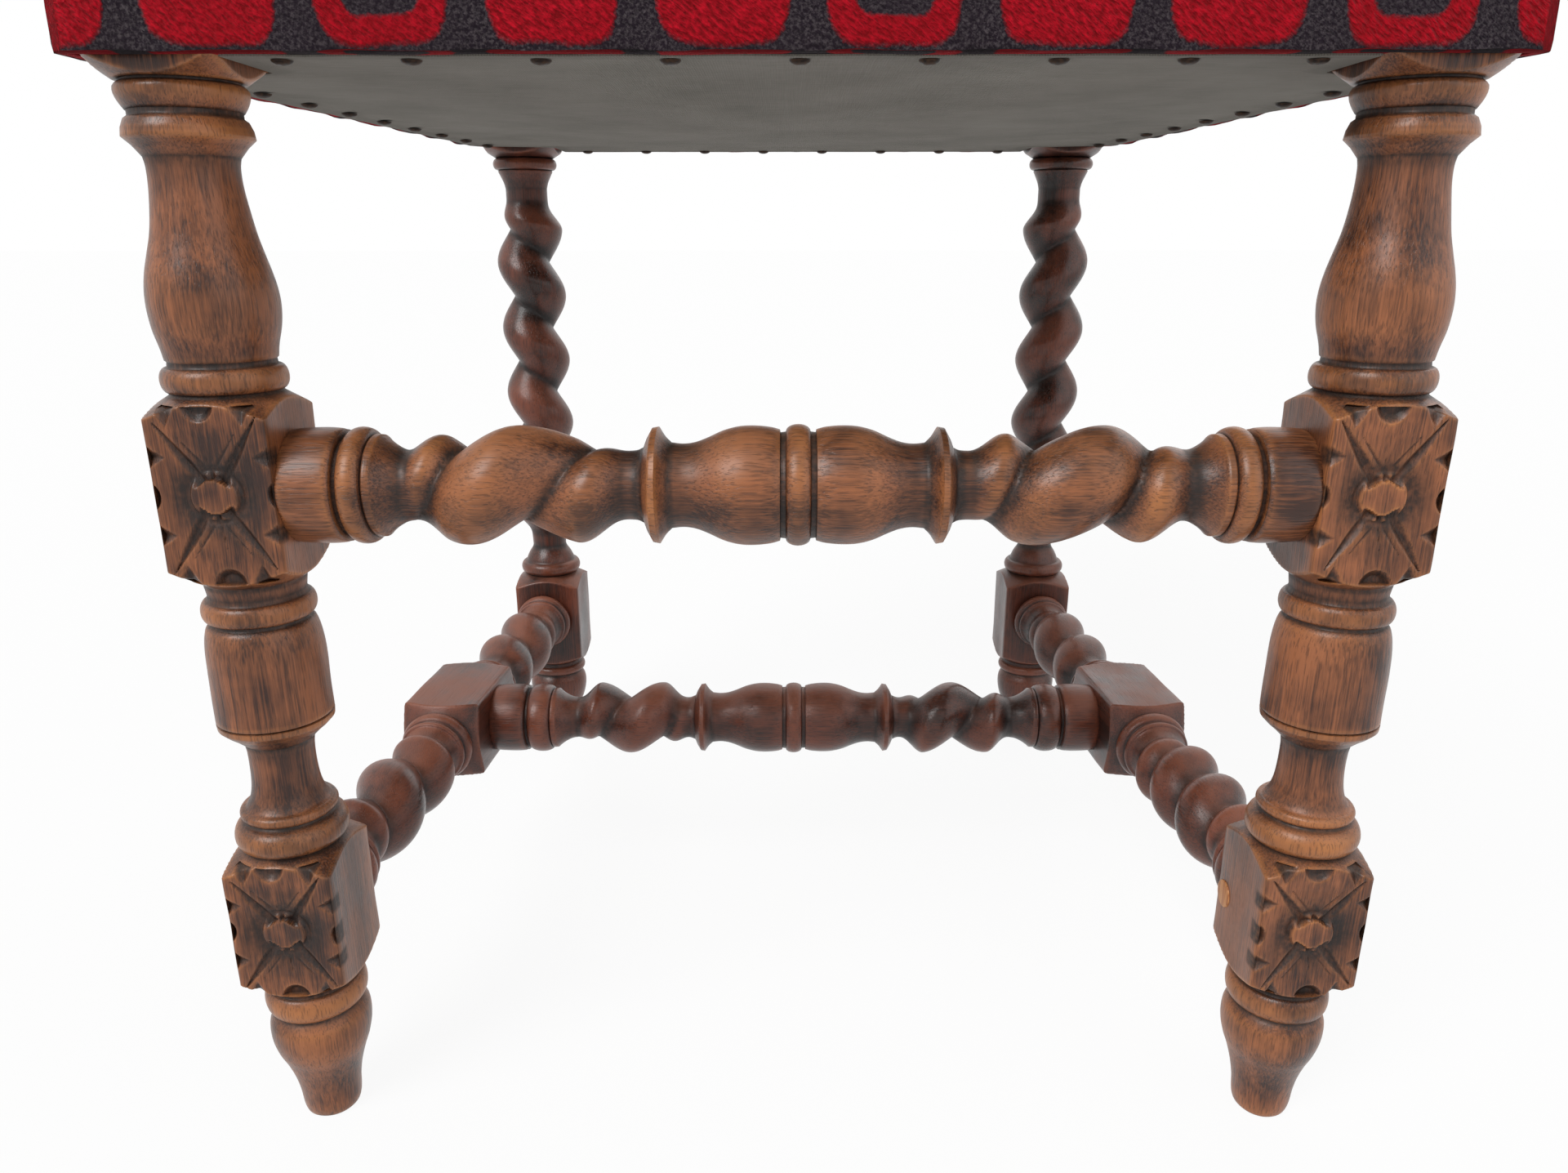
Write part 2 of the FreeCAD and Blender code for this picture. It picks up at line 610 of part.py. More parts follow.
def rear_lower_profile():
    """Ring, cone and neck above the rear square, room for the twist, and the capital."""
    ring_start = plus(REAR_TOP, "pommel_rise")
    ring_end = plus(ring_start, "rear_ring_height")
    cone_end = plus(ring_end, "rear_cone_height")
    neck_end = LEG_TWIST_END + " + rear_top_neck_height"
    hollow_end = plus(neck_end, "rear_capital_height")
    return shoulder_up("rear_square", REAR_TOP) + [
        ("rear_ring_radius", plus(ring_start, "rear_ring_height / 2"), "arc"),
        ("rear_cone_radius", ring_end),
        ("rear_neck_radius", cone_end),
        ("rear_neck_radius", LEG_TWIST_START),
        ("twist_core", LEG_TWIST_START),
        ("twist_core", LEG_TWIST_END),
        ("rear_top_neck_radius", LEG_TWIST_END),
        ("rear_top_neck_radius", neck_end),
        ("rear_top_neck_radius + hollow_ease", plus(neck_end, "rear_capital_height * 2 / 3"), "arc"),
        ("quirk_radius", hollow_end),
        ("rear_capital_radius", plus(hollow_end, "rear_capital_ring / 2"), "arc"),
    ] + shoulder_down("rear_square", SEAT_BLOCK)


def post_twist_profile(bottom, top):
    """Two rings and two necks with room for a twist, between two squares of a post."""
    low_ring = plus(bottom, "pommel_rise")
    low_end = plus(low_ring, "post_ring_height")
    twist_low = plus(bottom, POST_TWIST_END)
    twist_high = minus(top, POST_TWIST_END)
    high_ring = minus(top, "pommel_rise", "post_ring_height")
    high_end = minus(top, "pommel_rise")
    clear = beyond("post_square")
    return [
        (clear, bottom),
        ("arm_neck_radius", low_ring),
        ("post_ring_radius", plus(low_ring, "post_ring_height / 2"), "arc"),
        ("arm_neck_radius", low_end),
        ("post_neck_radius", plus(low_end, "pommel_rise")),
        ("post_neck_radius", twist_low),
        ("twist_core", twist_low),
        ("twist_core", twist_high),
        ("post_neck_radius", twist_high),
        ("post_neck_radius", minus(high_ring, "pommel_rise")),
        ("arm_neck_radius", high_ring),
        ("post_ring_radius", plus(high_ring, "post_ring_height / 2"), "arc"),
        ("arm_neck_radius", high_end),
        (clear, top),
    ]


def finial_profile():
    """Neck and ball on top of a post."""
    ring_end = plus(POST_TOP_TOP, "pommel_rise", "post_ring_height")
    neck_end = plus(ring_end, "finial_neck_height")
    return [
        (beyond("post_square"), POST_TOP_TOP),
        ("arm_neck_radius", plus(POST_TOP_TOP, "pommel_rise")),
        ("post_ring_radius", plus(POST_TOP_TOP, "pommel_rise", "post_ring_height / 2"), "arc"),
        ("arm_neck_radius", ring_end),
        ("finial_neck_radius", plus(ring_end, "pommel_rise")),
        ("finial_neck_radius", neck_end),
        ("finial_radius", "((%s) + post_length) / 2" % neck_end, "arc"),
        ("0", "post_length"),
    ]


def rear_leg(name, side, sockets):
    """Two turned lengths, whose sockets are cut before the twists close round their cores."""
    x = "%d * %s" % (side, HALF_REAR)
    lower = billet("rear_billet_" + name, "rear_square", "rake_start + post_foot / 2")
    turn(lower, "rear_foot_" + name, "rear_square",
         foot_profile("rear_square", "rear_block_bottom"))
    turn(lower, "rear_turning_" + name, "rear_square", rear_lower_profile())
    place(lower, x, REAR_Y)

    post = billet("post_billet_" + name, "post_square", "post_length")
    turn(post, "post_low_" + name, "post_square",
         post_twist_profile("post_foot", "post_mid_bottom"))
    turn(post, "post_high_" + name, "post_square",
         post_twist_profile(POST_MID_TOP, POST_TOP_BOTTOM))
    turn(post, "post_finial_" + name, "post_square", finial_profile())
    post.Placement = back_frame(side * size(HALF_REAR))

    phase = size("leg_twist_phase")
    if side < 0:
        phase = 180 - phase
    leg_twist = twist("leg_twist_" + name, LEG_TWIST_START, LEG_TWIST_END,
                      size("leg_twist_pitch"), size("leg_twist_section"), size("leg_twist_throw"),
                      (size("rear_neck_radius"), size("rear_top_neck_radius")), phase, side)
    place(leg_twist, x, REAR_Y)
    parts = [cut("rear_lower_cut_" + name, lower, sockets),
             cut("rear_post_cut_" + name, post, sockets), leg_twist]
    for stretch, bottom, top in (("low", "post_foot", "post_mid_bottom"),
                                 ("high", POST_MID_TOP, POST_TOP_BOTTOM)):
        neck = size("post_neck_radius")
        post_twist = twist("post_twist_%s_%s" % (stretch, name), plus(bottom, POST_TWIST_END),
                           minus(top, POST_TWIST_END), size("leg_twist_pitch"),
                           size("post_twist_section"), size("post_twist_throw"),
                           (neck, neck), phase, side)
        post_twist.Placement = back_frame(side * size(HALF_REAR))
        parts.append(post_twist)
    return fuse("rear_leg_whole_" + name, parts)


# Stretchers

def revolve(body, label, outline):
    feature = body.newObject("PartDesign::Revolution", label + "_turning")
    feature.Profile = outline_sketch(body, label + "_outline", "XZ_Plane", [outline])
    feature.ReferenceAxis = (feature.Profile[0], ["V_Axis"])
    feature.Angle = 360
    doc.recompute()
    return body


def stretcher_profile(kind, half_length, twist_outer):
    """Half a front or cross stretcher, from its middle bead out to its end drum."""
    scale = "1" if kind == "front" else "cross_scale"

    def radius(name):
        return "(%s) * %s" % (name, scale)
    torus = "%s_torus_length" % kind
    drum_start = minus(half_length, "%s_drum_length" % kind)
    torus_start = minus(drum_start, "front_quirk_width", torus)
    fillet_start = minus(torus_start, "front_fillet_length")
    ring_start = "front_ring_place - front_ring_length / 2"
    ring_end = "front_ring_place + front_ring_length / 2"
    inner = "%s_twist_inner" % kind
    return [
        (radius("front_quirk_radius"), "front_bead_half"),
        (radius("front_quirk_radius"), "front_vase_end - front_quirk_width"),
        (radius("front_vase_radius - vase_end_drop"), "front_vase_end"),
        (radius("front_vase_radius"), "front_vase_place", "arc"),
        (radius("front_waist_radius + vase_foot_rise"), "(front_vase_place + 2 * front_waist_place) / 3"),
        (radius("front_waist_radius"), "front_waist_place"),
        (radius("front_waist_radius"), ring_start),
        (radius("front_ring_radius"), "front_ring_place"),
        (radius("front_ring_radius - ring_slope"), "front_ring_place + front_quirk_width"),
        (radius("front_waist_radius"), ring_end),
        (radius("front_neck_radius"), plus(ring_end, "front_quirk_width")),
        (radius("front_neck_radius"), inner),
        ("twist_core", inner),
        ("twist_core", twist_outer),
        (radius("front_neck_radius"), twist_outer),
        (radius("front_fillet_radius"), fillet_start),
        (radius("front_fillet_radius"), torus_start),
        (radius("front_torus_radius"), plus(torus_start, torus + " / 2"), "arc"),
        (radius("front_quirk_radius"), plus(torus_start, torus)),
        (radius("front_quirk_radius"), drum_start),
        (radius("front_drum_radius"), drum_start),
        (radius("front_drum_radius"), half_length),
    ]


def double_twist_bar(kind, half_length):
    """A front or cross stretcher: a symmetrical turning with a twist in each half."""
    twist_outer = minus(half_length, "%s_drum_length" % kind, "front_quirk_width",
                        "%s_torus_length" % kind, "front_fillet_length", "front_cone_length")
    profile = stretcher_profile(kind, half_length, twist_outer)
    body = doc.addObject("PartDesign::Body", kind + "_bar")
    lower = [(point[0], "-(%s)" % point[1]) + point[2:] for point in reversed(profile)]
    scale = "1" if kind == "front" else "cross_scale"
    crown = ("front_bead_radius * " + scale, "0", "arc")
    outline = [("0", "-(%s)" % half_length)] + lower + [crown] + profile + [("0", half_length)]
    revolve(body, kind + "_bar", outline)
    parts = [body]
    factor = size(scale)
    neck = size("front_neck_radius") * factor
    for name, side in SIDES.items():
        ends = [plus("%s_twist_inner" % kind), plus(twist_outer)]
        if side < 0:
            ends = ["-(%s)" % end for end in reversed(ends)]
        parts.append(twist("%s_twist_%s" % (kind, name), ends[0], ends[1],
                           size("front_twist_pitch"), size("front_twist_section") * factor,
                           size("front_twist_throw") * factor, (neck, neck),
                           size("%s_twist_phase_%s" % (kind, name)), -1))
    whole = fuse(kind + "_bar_whole", parts)
    whole.Placement = FreeCAD.Placement(Vector(0, 0, 0), FreeCAD.Rotation(Vector(0, 1, 0), 90))
    return whole


def tenoned(label, bar, ends):
    """A bar with a round tenon at each of its ends."""
    tenons = shape_feature(label + "_tenons", Part.makeCompound(
        [tenon(spot, way) for spot, way in ends]))
    return fuse(label + "_tenoned", [bar, tenons])


def front_stretcher():
    bar = double_twist_bar("front", "(%s - front_square / 2)" % HALF_FRONT)
    place(bar, "0", FRONT_Y, FRONT_STRETCHER_HEIGHT)
    node(tenoned("front_bar", bar, front_bar_ends()), "front_stretcher")


def cross_stretcher():
    """The bar between the side stretchers, cut to the slanting faces of their squares."""
    bar = double_twist_bar("cross", "(%s - middle_square / 2 + arm_overrun)" % MIDDLE_HALF_X)
    place(bar, "0", plus(FRONT_Y, "cross_place"), "stretcher_height")
    trimmed = cut("cross_bar_trimmed", bar, middle_squares)
    node(tenoned("cross_bar", trimmed, cross_bar_ends()), "cross_stretcher")


def repair_plug():
    plug = doc.addObject("Part::Cylinder", "plug")
    bind(plug, "Radius", "plug_radius")
    bind(plug, "Height", "plug_depth")
    plug.Placement = FreeCAD.Placement(plug_spot, FreeCAD.Rotation(UP, Vector(1, 0, 0)))
    node(plug, "repair_plug")


def stretcher_axis(side):
    """Ends of a side stretcher's axis, at the centres of its two legs."""
    front = Vector(side * size(HALF_FRONT), size(FRONT_Y), size("stretcher_height"))
    rear = Vector(side * size(HALF_REAR), size(REAR_Y), size("stretcher_height"))
    return front, rear


def axis_placement(side):
    """Own Z axis along the side stretcher towards the rear, own X axis level."""
    front, rear = stretcher_axis(side)
    along = (rear - front).normalize()
    level = UP.cross(along)
    return FreeCAD.Placement(front, FreeCAD.Rotation(level, along.cross(level), along, "ZXY"))


def arm_profile(start, end, to_leg_start):
    """One arm of a side stretcher, from one square end to the other."""
    ring_low = plus(start, "pommel_rise")
    ring_low_end = plus(ring_low, "arm_ring_length")
    step_low = plus(ring_low_end, "arm_step_length")
    neck_low = plus(step_low, "arm_cone_length")
    ring_high_end = minus(end, "pommel_rise")
    ring_high = minus(ring_high_end, "arm_ring_length")
    step_high = minus(ring_high, "arm_step_length")
    neck_high = minus(step_high, "arm_cone_length")
    clear = beyond("middle_square")
    first = [(clear, start), ("arm_step_radius", ring_low)]
    last = [("arm_step_radius", ring_high_end), (clear, end)]
    if to_leg_start:
        first = [("arm_step_radius", start), ("arm_step_radius", ring_low)]
    else:
        last = [("arm_step_radius", ring_high_end), ("arm_step_radius", end)]
    return first + [
        ("arm_ring_radius", plus(ring_low, "arm_ring_length / 2"), "arc"),
        ("arm_step_radius", ring_low_end),
        ("arm_step_radius", step_low),
        ("arm_neck_radius", neck_low),
        ("twist_core", neck_low),
        ("twist_core", neck_high),
        ("arm_neck_radius", neck_high),
        ("arm_step_radius", step_high),
        ("arm_step_radius", ring_high),
        ("arm_ring_radius", plus(ring_high, "arm_ring_length / 2"), "arc"),
    ] + last


def side_stretcher(name, side):
    """Two turned arms on either side of a square block, cut to the legs' faces."""
    body = billet("arm_billet_" + name, "middle_square", minus(ARM_REAR, ARM_FRONT), ARM_FRONT)
    turn(body, "arm_front_" + name, "middle_square",
         arm_profile(ARM_FRONT, BLOCK_START, True))
    turn(body, "arm_rear_" + name, "middle_square",
         arm_profile(BLOCK_END, ARM_REAR, False))
    body.Placement = axis_placement(side)
    parts = [body]
    neck = size("arm_neck_radius")
    ends = "pommel_rise + arm_ring_length + arm_step_length + arm_cone_length"
    for stretch, start, end in (("front", ARM_FRONT, BLOCK_START), ("rear", BLOCK_END, ARM_REAR)):
        low, high = plus(start, ends), minus(end, ends)
        pitch = (size(high) - size(low)) / size("arm_twist_turns")
        arm = twist("arm_twist_%s_%s" % (stretch, name), low, high, pitch,
                    size("arm_twist_section"), size("arm_twist_throw"), (neck, neck), 90, side)
        arm.Placement = axis_placement(side)
        parts.append(arm)
    whole = fuse("arms_whole_" + name, parts)
    trimmed = cut("arms_trimmed_" + name, whole, leg_squares)
    bar = tenoned("arms_" + name, trimmed, arm_ends(side))
    return node(cut("arms_bored_" + name, bar, middle_sockets), "side_stretcher_" + name)


def arm_ends(side):
    """Where a side stretcher's axis meets its legs, and the way into each leg."""
    front, rear = stretcher_axis(side)
    along = (rear - front).normalize()
    front_spot = front + along * (size("front_square") / 2 / along.y)
    rear_spot = rear - along * (size("rear_square") / 2 / along.y)
    return [(front_spot, along * -1), (rear_spot, along)]


def front_bar_ends():
    reach = size(HALF_FRONT) - size("front_square") / 2
    height, y = size(FRONT_STRETCHER_HEIGHT), size(FRONT_Y)
    return [(Vector(side * reach, y, height), Vector(side, 0, 0)) for side in SIDES.values()]


def cross_bar_ends():
    """Where the cross stretcher's axis meets the squares of the side stretchers."""
    ends = []
    for side in SIDES.values():
        front, rear = stretcher_axis(side)
        along = (rear - front).normalize()
        reach = size(MIDDLE_HALF_X) - size("middle_square") / 2 / along.y
        y = size(plus(FRONT_Y, "cross_place"))
        ends.append((Vector(side * reach, y, size("stretcher_height")), Vector(side, 0, 0)))
    return ends


def tenon(spot, way):
    """A round tenon that starts inside the bar and runs into its mortise."""
    root = size("tenon_length") / 2
    return Part.makeCylinder(size("tenon_radius"), root + size("tenon_length"),
                             spot - way * root, way)


def mortise(spot, way):
    play = size("tenon_clearance")
    return Part.makeCylinder(size("tenon_radius") + play,
                             size("tenon_length") + size("tenon_bottom_gap") + play,
                             spot - way * play, way)


def middle_box(side):
    """The square of a side stretcher, as a plain box."""
    half = size("middle_square") / 2
    length = size("middle_block_length")
    box = Part.makeBox(2 * half, 2 * half, length, Vector(-half, -half, size(BLOCK_START)))
    box.Placement = axis_placement(side)
    return box


def upright_box(half_x, half_y, low, high, x=0.0, y=0.0):
    corner = Vector(x - half_x, y - half_y, low)
    return Part.makeBox(2 * half_x, 2 * half_y, high - low, corner)


def leg_boxes(grow, low, high):
    """Squares of the four legs between two heights, grown all round."""
    boxes = []
    for side in SIDES.values():
        for half_spacing, y, square in ((HALF_FRONT, FRONT_Y, "front_square"),
                                        (HALF_REAR, REAR_Y, "rear_square")):
            half = size(square) / 2 + grow
            boxes.append(upright_box(half, half, low, high, side * size(half_spacing), size(y)))
    return boxes


# Seat rails

def rail_plan(name, middle, half_width, reach):
    """Corners of a strip along a seat rail, seen from above."""
    near, far = "(%s) - (%s)" % (middle, half_width), "(%s) + (%s)" % (middle, half_width)
    if name in ("front", "rear"):
        front = name == "front"
        face = minus(FRONT_Y, "front_square / 2") if front else plus(REAR_Y, "rear_square / 2")
        end = plus(HALF_FRONT if front else HALF_REAR, reach) + (
            " - front_square / 2" if front else " - rear_square / 2")
        inward = "%s + (%s)" if front else "%s - (%s)"
        lines = [inward % (face, near), inward % (face, far)]
        return [("-(%s)" % end, lines[0]), (end, lines[0]), (end, lines[1]), ("-(%s)" % end, lines[1])]
    sign = "-" if name == "left" else ""
    front_end = minus(plus(FRONT_Y, "front_square / 2"), reach)
    rear_end = plus(minus(REAR_Y, "rear_square / 2"), reach)

    def spot(y, inset):
        return ("%s(%s - (%s))" % (sign, side_face(y), inset), y)
    return [spot(front_end, near), spot(rear_end, near), spot(rear_end, far), spot(front_end, far)]


def side_face(y):
    """How far the outer face of a side rail stands from the middle, at a place along it."""
    return "(%s + front_square / 2 + (%s) * ((%s) - (%s) - front_square / 2))" % (
        HALF_FRONT, SIDE_SLOPE, y, FRONT_Y)


def seat_rail(name):
    body = doc.addObject("PartDesign::Body", "rail_board_" + name)
    half = "rail_thickness / 2"
    pad(body, "rail_face_" + name, "XY_Plane", rail_plan(name, half, half, "0"),
        "rail_height", "seat_underside")
    pad(body, "rail_tenon_" + name, "XY_Plane",
        rail_plan(name, half, "rail_tenon_thickness / 2", "rail_tenon_length"),
        "rail_height - 2 * rail_tenon_shoulder", "seat_underside + rail_tenon_shoulder")
    return node(cut("rail_cut_" + name, body, rail_room), "seat_rail_" + name)


def rail_mortise(name):
    """Room for a rail's tenons in the legs."""
    play = size("tenon_clearance")
    corners = rail_plan(name, "rail_thickness / 2", "rail_tenon_thickness / 2 + tenon_clearance",
                        "rail_tenon_length + tenon_bottom_gap")
    low = size("seat_underside + rail_tenon_shoulder") - play
    high = size(minus(RAIL_TOP, "rail_tenon_shoulder")) + play
    return prism([Vector(size(x), size(y), low) for x, y in corners], high - low)


def prism(points, height, way=UP):
    face = Part.Face(Part.makePolygon(points + [points[0]]))
    return face.extrude(way * height)


def brace_plan(end, side):
    """A corner block seen from above, between an end rail and a side rail."""
    front = end == "front"
    centre_x = HALF_FRONT if front else HALF_REAR
    if front:
        line = FRONT_Y + " - front_square / 2 + rail_thickness"
        far = plus(FRONT_Y, "brace_reach")
        near = minus(far, "brace_width")
    else:
        line = REAR_Y + " + rear_square / 2 - rail_thickness"
        far = minus(REAR_Y, "brace_reach")
        near = plus(far, "brace_width")

    def on_side(y):
        return ("%d * (%s - rail_thickness)" % (side, side_face(y)), y)
    return [
        ("%d * (%s - brace_reach)" % (side, centre_x), line),
        ("%d * (%s - brace_reach + brace_width)" % (side, centre_x), line),
        on_side(near),
        on_side(far),
    ]


def corner_block(end, name, side):
    label = "corner_block_%s_%s" % (end, name)
    body = doc.addObject("PartDesign::Body", label + "_wood")
    pad(body, label + "_pad", "XY_Plane", brace_plan(end, side), "brace_height",
        minus(RAIL_TOP, "brace_drop", "brace_height"))
    return node(cut(label + "_cut", body, screw_room), label)


def screw_spots():
    """Where each corner block screw crosses the rail's inner face, and its direction."""
    height = size(minus(RAIL_TOP, "brace_drop", "brace_height / 2"))
    spots = []
    for end, way in (("front", -1), ("rear", 1)):
        for side in SIDES.values():
            plan = [Vector(size(x), size(y), height) for x, y in brace_plan(end, side)]
            spots.append(((plan[0] + plan[1]) * 0.5, Vector(0, way, 0)))
            spots.append(((plan[2] + plan[3]) * 0.5, Vector(side, 0, 0)))
    return spots


def screw(spot, way, play, access):
    """A corner block screw, or with play and access the room that it needs."""
    back = size("screw_length") / 2
    shank = Part.makeCylinder(size("screw_radius") + play, 2 * back + play, spot - way * back, way)
    head_start = spot - way * (back + size("screw_head_height") + access)
    head = Part.makeCylinder(size("screw_head_radius") + play,
                             size("screw_head_height") + access + play, head_start, way)
    return shank.fuse(head)


def tack_spots(name):
    """Places of the tacks along one edge of the dust cloth."""
    corners = rail_plan(name, "dust_inset + tack_inset", "0", "0")
    start = Vector(size(corners[0][0]), size(corners[0][1]), 0)
    end = Vector(size(corners[1][0]), size(corners[1][1]), 0)
    way = (end - start).normalize()
    start, end = start + way * size("tack_end_inset"), end - way * size("tack_end_inset")
    count = max(2, round((end - start).Length / size("tack_spacing")) + 1)
    return [start + (end - start) * (index / (count - 1)) for index in range(count)]


def tack(spot, way, play=0.0):
    """A tack whose head lies on the cloth at spot, its shank going along way."""
    rise = size("tack_head_height")
    head = Part.makeCone(size("tack_crown_radius"), size("tack_head_radius"), rise,
                         Vector(0, 0, -rise))
    shank = Part.makeCylinder(size("tack_shank_radius") + play,
                              rise + size("tack_shank_length") + play, Vector(0, 0, -rise / 2))
    whole = head.fuse(shank)
    whole.Placement = FreeCAD.Placement(spot, FreeCAD.Rotation(UP, way))
    return whole


# Seat upholstery

def seat_plan(inset, gap, height):
    """The seat's outline at a height, stepped round the rear posts."""
    half_front = size("front_square") / 2
    half_rear = size("rear_square") / 2
    front, back = size(FRONT_Y) - half_front + inset, size(REAR_Y) + half_rear - inset
    step_x = size(HALF_REAR) - half_rear - gap - max(inset, 0)
    step_y = size(REAR_Y) - half_rear - gap - max(inset, 0)
    knee = size(FRONT_Y) + half_front
    right = [
        (size(side_face(str(knee))) - inset, front),
        (size(side_face(str(knee))) - inset, knee + max(inset, 0)),
        (size(side_face(str(step_y))) - inset, step_y),
        (step_x, step_y),
        (step_x, back),
    ]
    left = [(-x, y) for x, y in reversed(right)]
    return [Vector(x, y, height) for x, y in right + left]


def pillow(levels, plan):
    """A closed form through outlines at rising levels."""
    wires = []
    for inset, height in levels:
        points = plan(inset, height)
        wires.append(Part.makePolygon(points + [points[0]]))
    return Part.makeLoft(wires, True, True)


def crown_levels(grow, low, top, round_edge, drop):
    """Insets and heights of a padded form: upright edge, rounded rim, low crown."""
    rim = top - drop
    eased = round_edge * (1 - math.sqrt(0.5))
    return [
        (-grow, low),
        (-grow, rim - round_edge),
        (eased - grow, rim - eased),
        (round_edge - grow, rim),
        (size("crown_shoulder") - grow, top - drop / 4),
        (size("crown_flat") - grow, top),
    ]


def seat_upholstery():
    gap, cloth = size("cover_gap"), size("cover_thickness")
    round_edge, drop = size("stuffing_round"), size("stuffing_drop")

    def plan(inset, height):
        return seat_plan(inset, gap + cloth, height)
    hessian_low, hessian_top = size(WEB_TOP), size(HESSIAN_TOP)
    hessian = prism(plan(cloth, hessian_low), hessian_top - hessian_low)
    node(shape_feature("hessian", hessian), "seat_hessian")
    top = size(STUFFING_TOP)
    stuffing = pillow(crown_levels(0, hessian_top, top, round_edge, drop), plan)
    node(shape_feature("stuffing", stuffing), "seat_stuffing")

    def outer_plan(inset, height):
        return seat_plan(inset, gap, height)
    low = size("seat_underside")
    lip_low = low - cloth
    outer = pillow(crown_levels(gap + cloth, lip_low, top + gap + cloth, round_edge + cloth, drop),
                   outer_plan)
    inner = pillow(crown_levels(gap, low, top + gap, round_edge, drop), plan)
    cover = outer.cut(inner)
    lip = size("cover_lip")
    opening = prism(seat_plan(lip, 0.0, lip_low - gap), cloth + 2 * gap)
    rails = prism(seat_plan(0.0, 0.0, low), size("rail_height") + gap)
    legs = leg_boxes(gap, lip_low - gap, size(RAIL_TOP) - gap)
    cover = cover.cut(Part.makeCompound([opening])).cut(rails).cut(Part.makeCompound(legs))
    node(shape_feature("cover", cover), "seat_cover")

    thickness = size("dust_thickness")
    inset = size("dust_inset")
    cloth_sheet = prism(seat_plan(inset, gap, low - thickness), thickness)
    holes = Part.makeCompound(leg_boxes(gap, low - cloth, low) + tack_shapes(gap))
    node(shape_feature("dust", cloth_sheet.cut(holes)), "dust_cloth")
    node(shape_feature("tacks", Part.makeCompound(tack_shapes(0.0))), "dust_cloth_tacks")


def tack_shapes(play):
    height = size("seat_underside - dust_thickness")
    shapes = []
    for name in ("front", "rear", "left", "right"):
        for spot in tack_spots(name):
            shapes.append(tack(Vector(spot.x, spot.y, height), UP, play))
    return shapes


def strips(span, width, gap):
    """Middles of as many strips as fit in a span, evenly about its middle."""
    count = max(1, int((span + gap) // (width + gap)))
    return [(index - (count - 1) / 2) * (width + gap) for index in range(count)]


def seat_webbing():
    """Strips from front to back on the rails, and strips from side to side on those."""
    width, thickness = size("web_width"), size("web_thickness")
    low = size(RAIL_TOP)
    margin = size("cover_thickness")
    front = size(FRONT_Y) - size("front_square") / 2 + margin
    back = size(REAR_Y) + size("rear_square") / 2 - margin
    span = 2 * (size(HALF_REAR) - size("rear_square") / 2)
    long_strips = []
    for x in strips(span, width, size("web_gap")):
        long_strips.append(upright_box(width / 2, (back - front) / 2, low, low + thickness,
                                       x, (front + back) / 2))
    middle = size(FRONT_Y) + size("leg_depth") / 2
    span = size("leg_depth") - size("rear_square") - 2 * size("cover_gap")
    cross_strips = []
    for y in strips(span, width, size("web_gap")):
        corners = []
        for sign, edge in ((1, -1), (1, 1), (-1, 1), (-1, -1)):
            place_y = middle + y + edge * width / 2
            corners.append(Vector(sign * (size(side_face(str(place_y))) - margin), place_y,
                                  low + thickness))
        cross_strips.append(prism(corners, thickness))
    node(shape_feature("webs_long", Part.makeCompound(long_strips)), "webbing_front_to_back")
    node(shape_feature("webs_cross", Part.makeCompound(cross_strips)), "webbing_side_to_side")


# Back

def back_rail(name, middle):
    body = doc.addObject("PartDesign::Body", "back_board_" + name)
    half_x = HALF_REAR + " - post_square / 2"
    pad(body, "back_face_" + name, "XY_Plane",
        rectangle(half_x, "back_rail_thickness / 2"), "back_rail_height",
        minus(middle, "back_rail_height / 2"))
    pad(body, "back_tenon_" + name, "XY_Plane",
        rectangle(plus(half_x, "rail_tenon_length"), "rail_tenon_thickness / 2"),
        "back_rail_height - 2 * rail_tenon_shoulder",
        minus(middle, "back_rail_height / 2") + " + rail_tenon_shoulder")
    body.Placement = back_frame()
    return node(cut("back_rail_cut_" + name, body, back_tack_room), "back_rail_" + name)


def back_mortise(middle):
    play = size("tenon_clearance")
    half_x = size(HALF_REAR) - size("post_square") / 2 + size("rail_tenon_length")
    half_height = size("back_rail_height / 2 - rail_tenon_shoulder") + play
    box = upright_box(half_x + size("tenon_bottom_gap"), size("rail_tenon_thickness") / 2 + play,
                      size(middle) - half_height, size(middle) + half_height)
    box.Placement = back_frame()
    return box


def back_stile(name, side):
    """An upright strip beside a post, between the two back rails."""
    box = doc.addObject("Part::Box", "back_strip_" + name)
    bind(box, "Length", "stile_width")
    bind(box, "Width", "back_rail_thickness")
    bind(box, "Height", minus(BACK_HIGH, BACK_LOW, "back_rail_height"))
    edge = size(HALF_REAR) - size("post_square") / 2 - size("back_side_gap")
    x = edge - size("stile_width") if side > 0 else -edge
    box.Placement = back_frame(x, -size("back_rail_thickness") / 2,
                               size(plus(BACK_LOW, "back_rail_height / 2")))
    return node(cut("back_stile_cut_" + name, box, back_tack_room), "back_stile_" + name)


def back_box(half_x, front, back, low, high):
    return Part.makeBox(2 * half_x, front - back, high - low, Vector(-half_x, -front, low))


def back_plan(half_x, low, high):
    """Outlines of the back's padding, whose height is measured forwards."""
    def plan(inset, height):
        x = half_x - inset
        return [Vector(-x, -height, low + inset), Vector(x, -height, low + inset),
                Vector(x, -height, high - inset), Vector(-x, -height, high - inset)]
    return plan


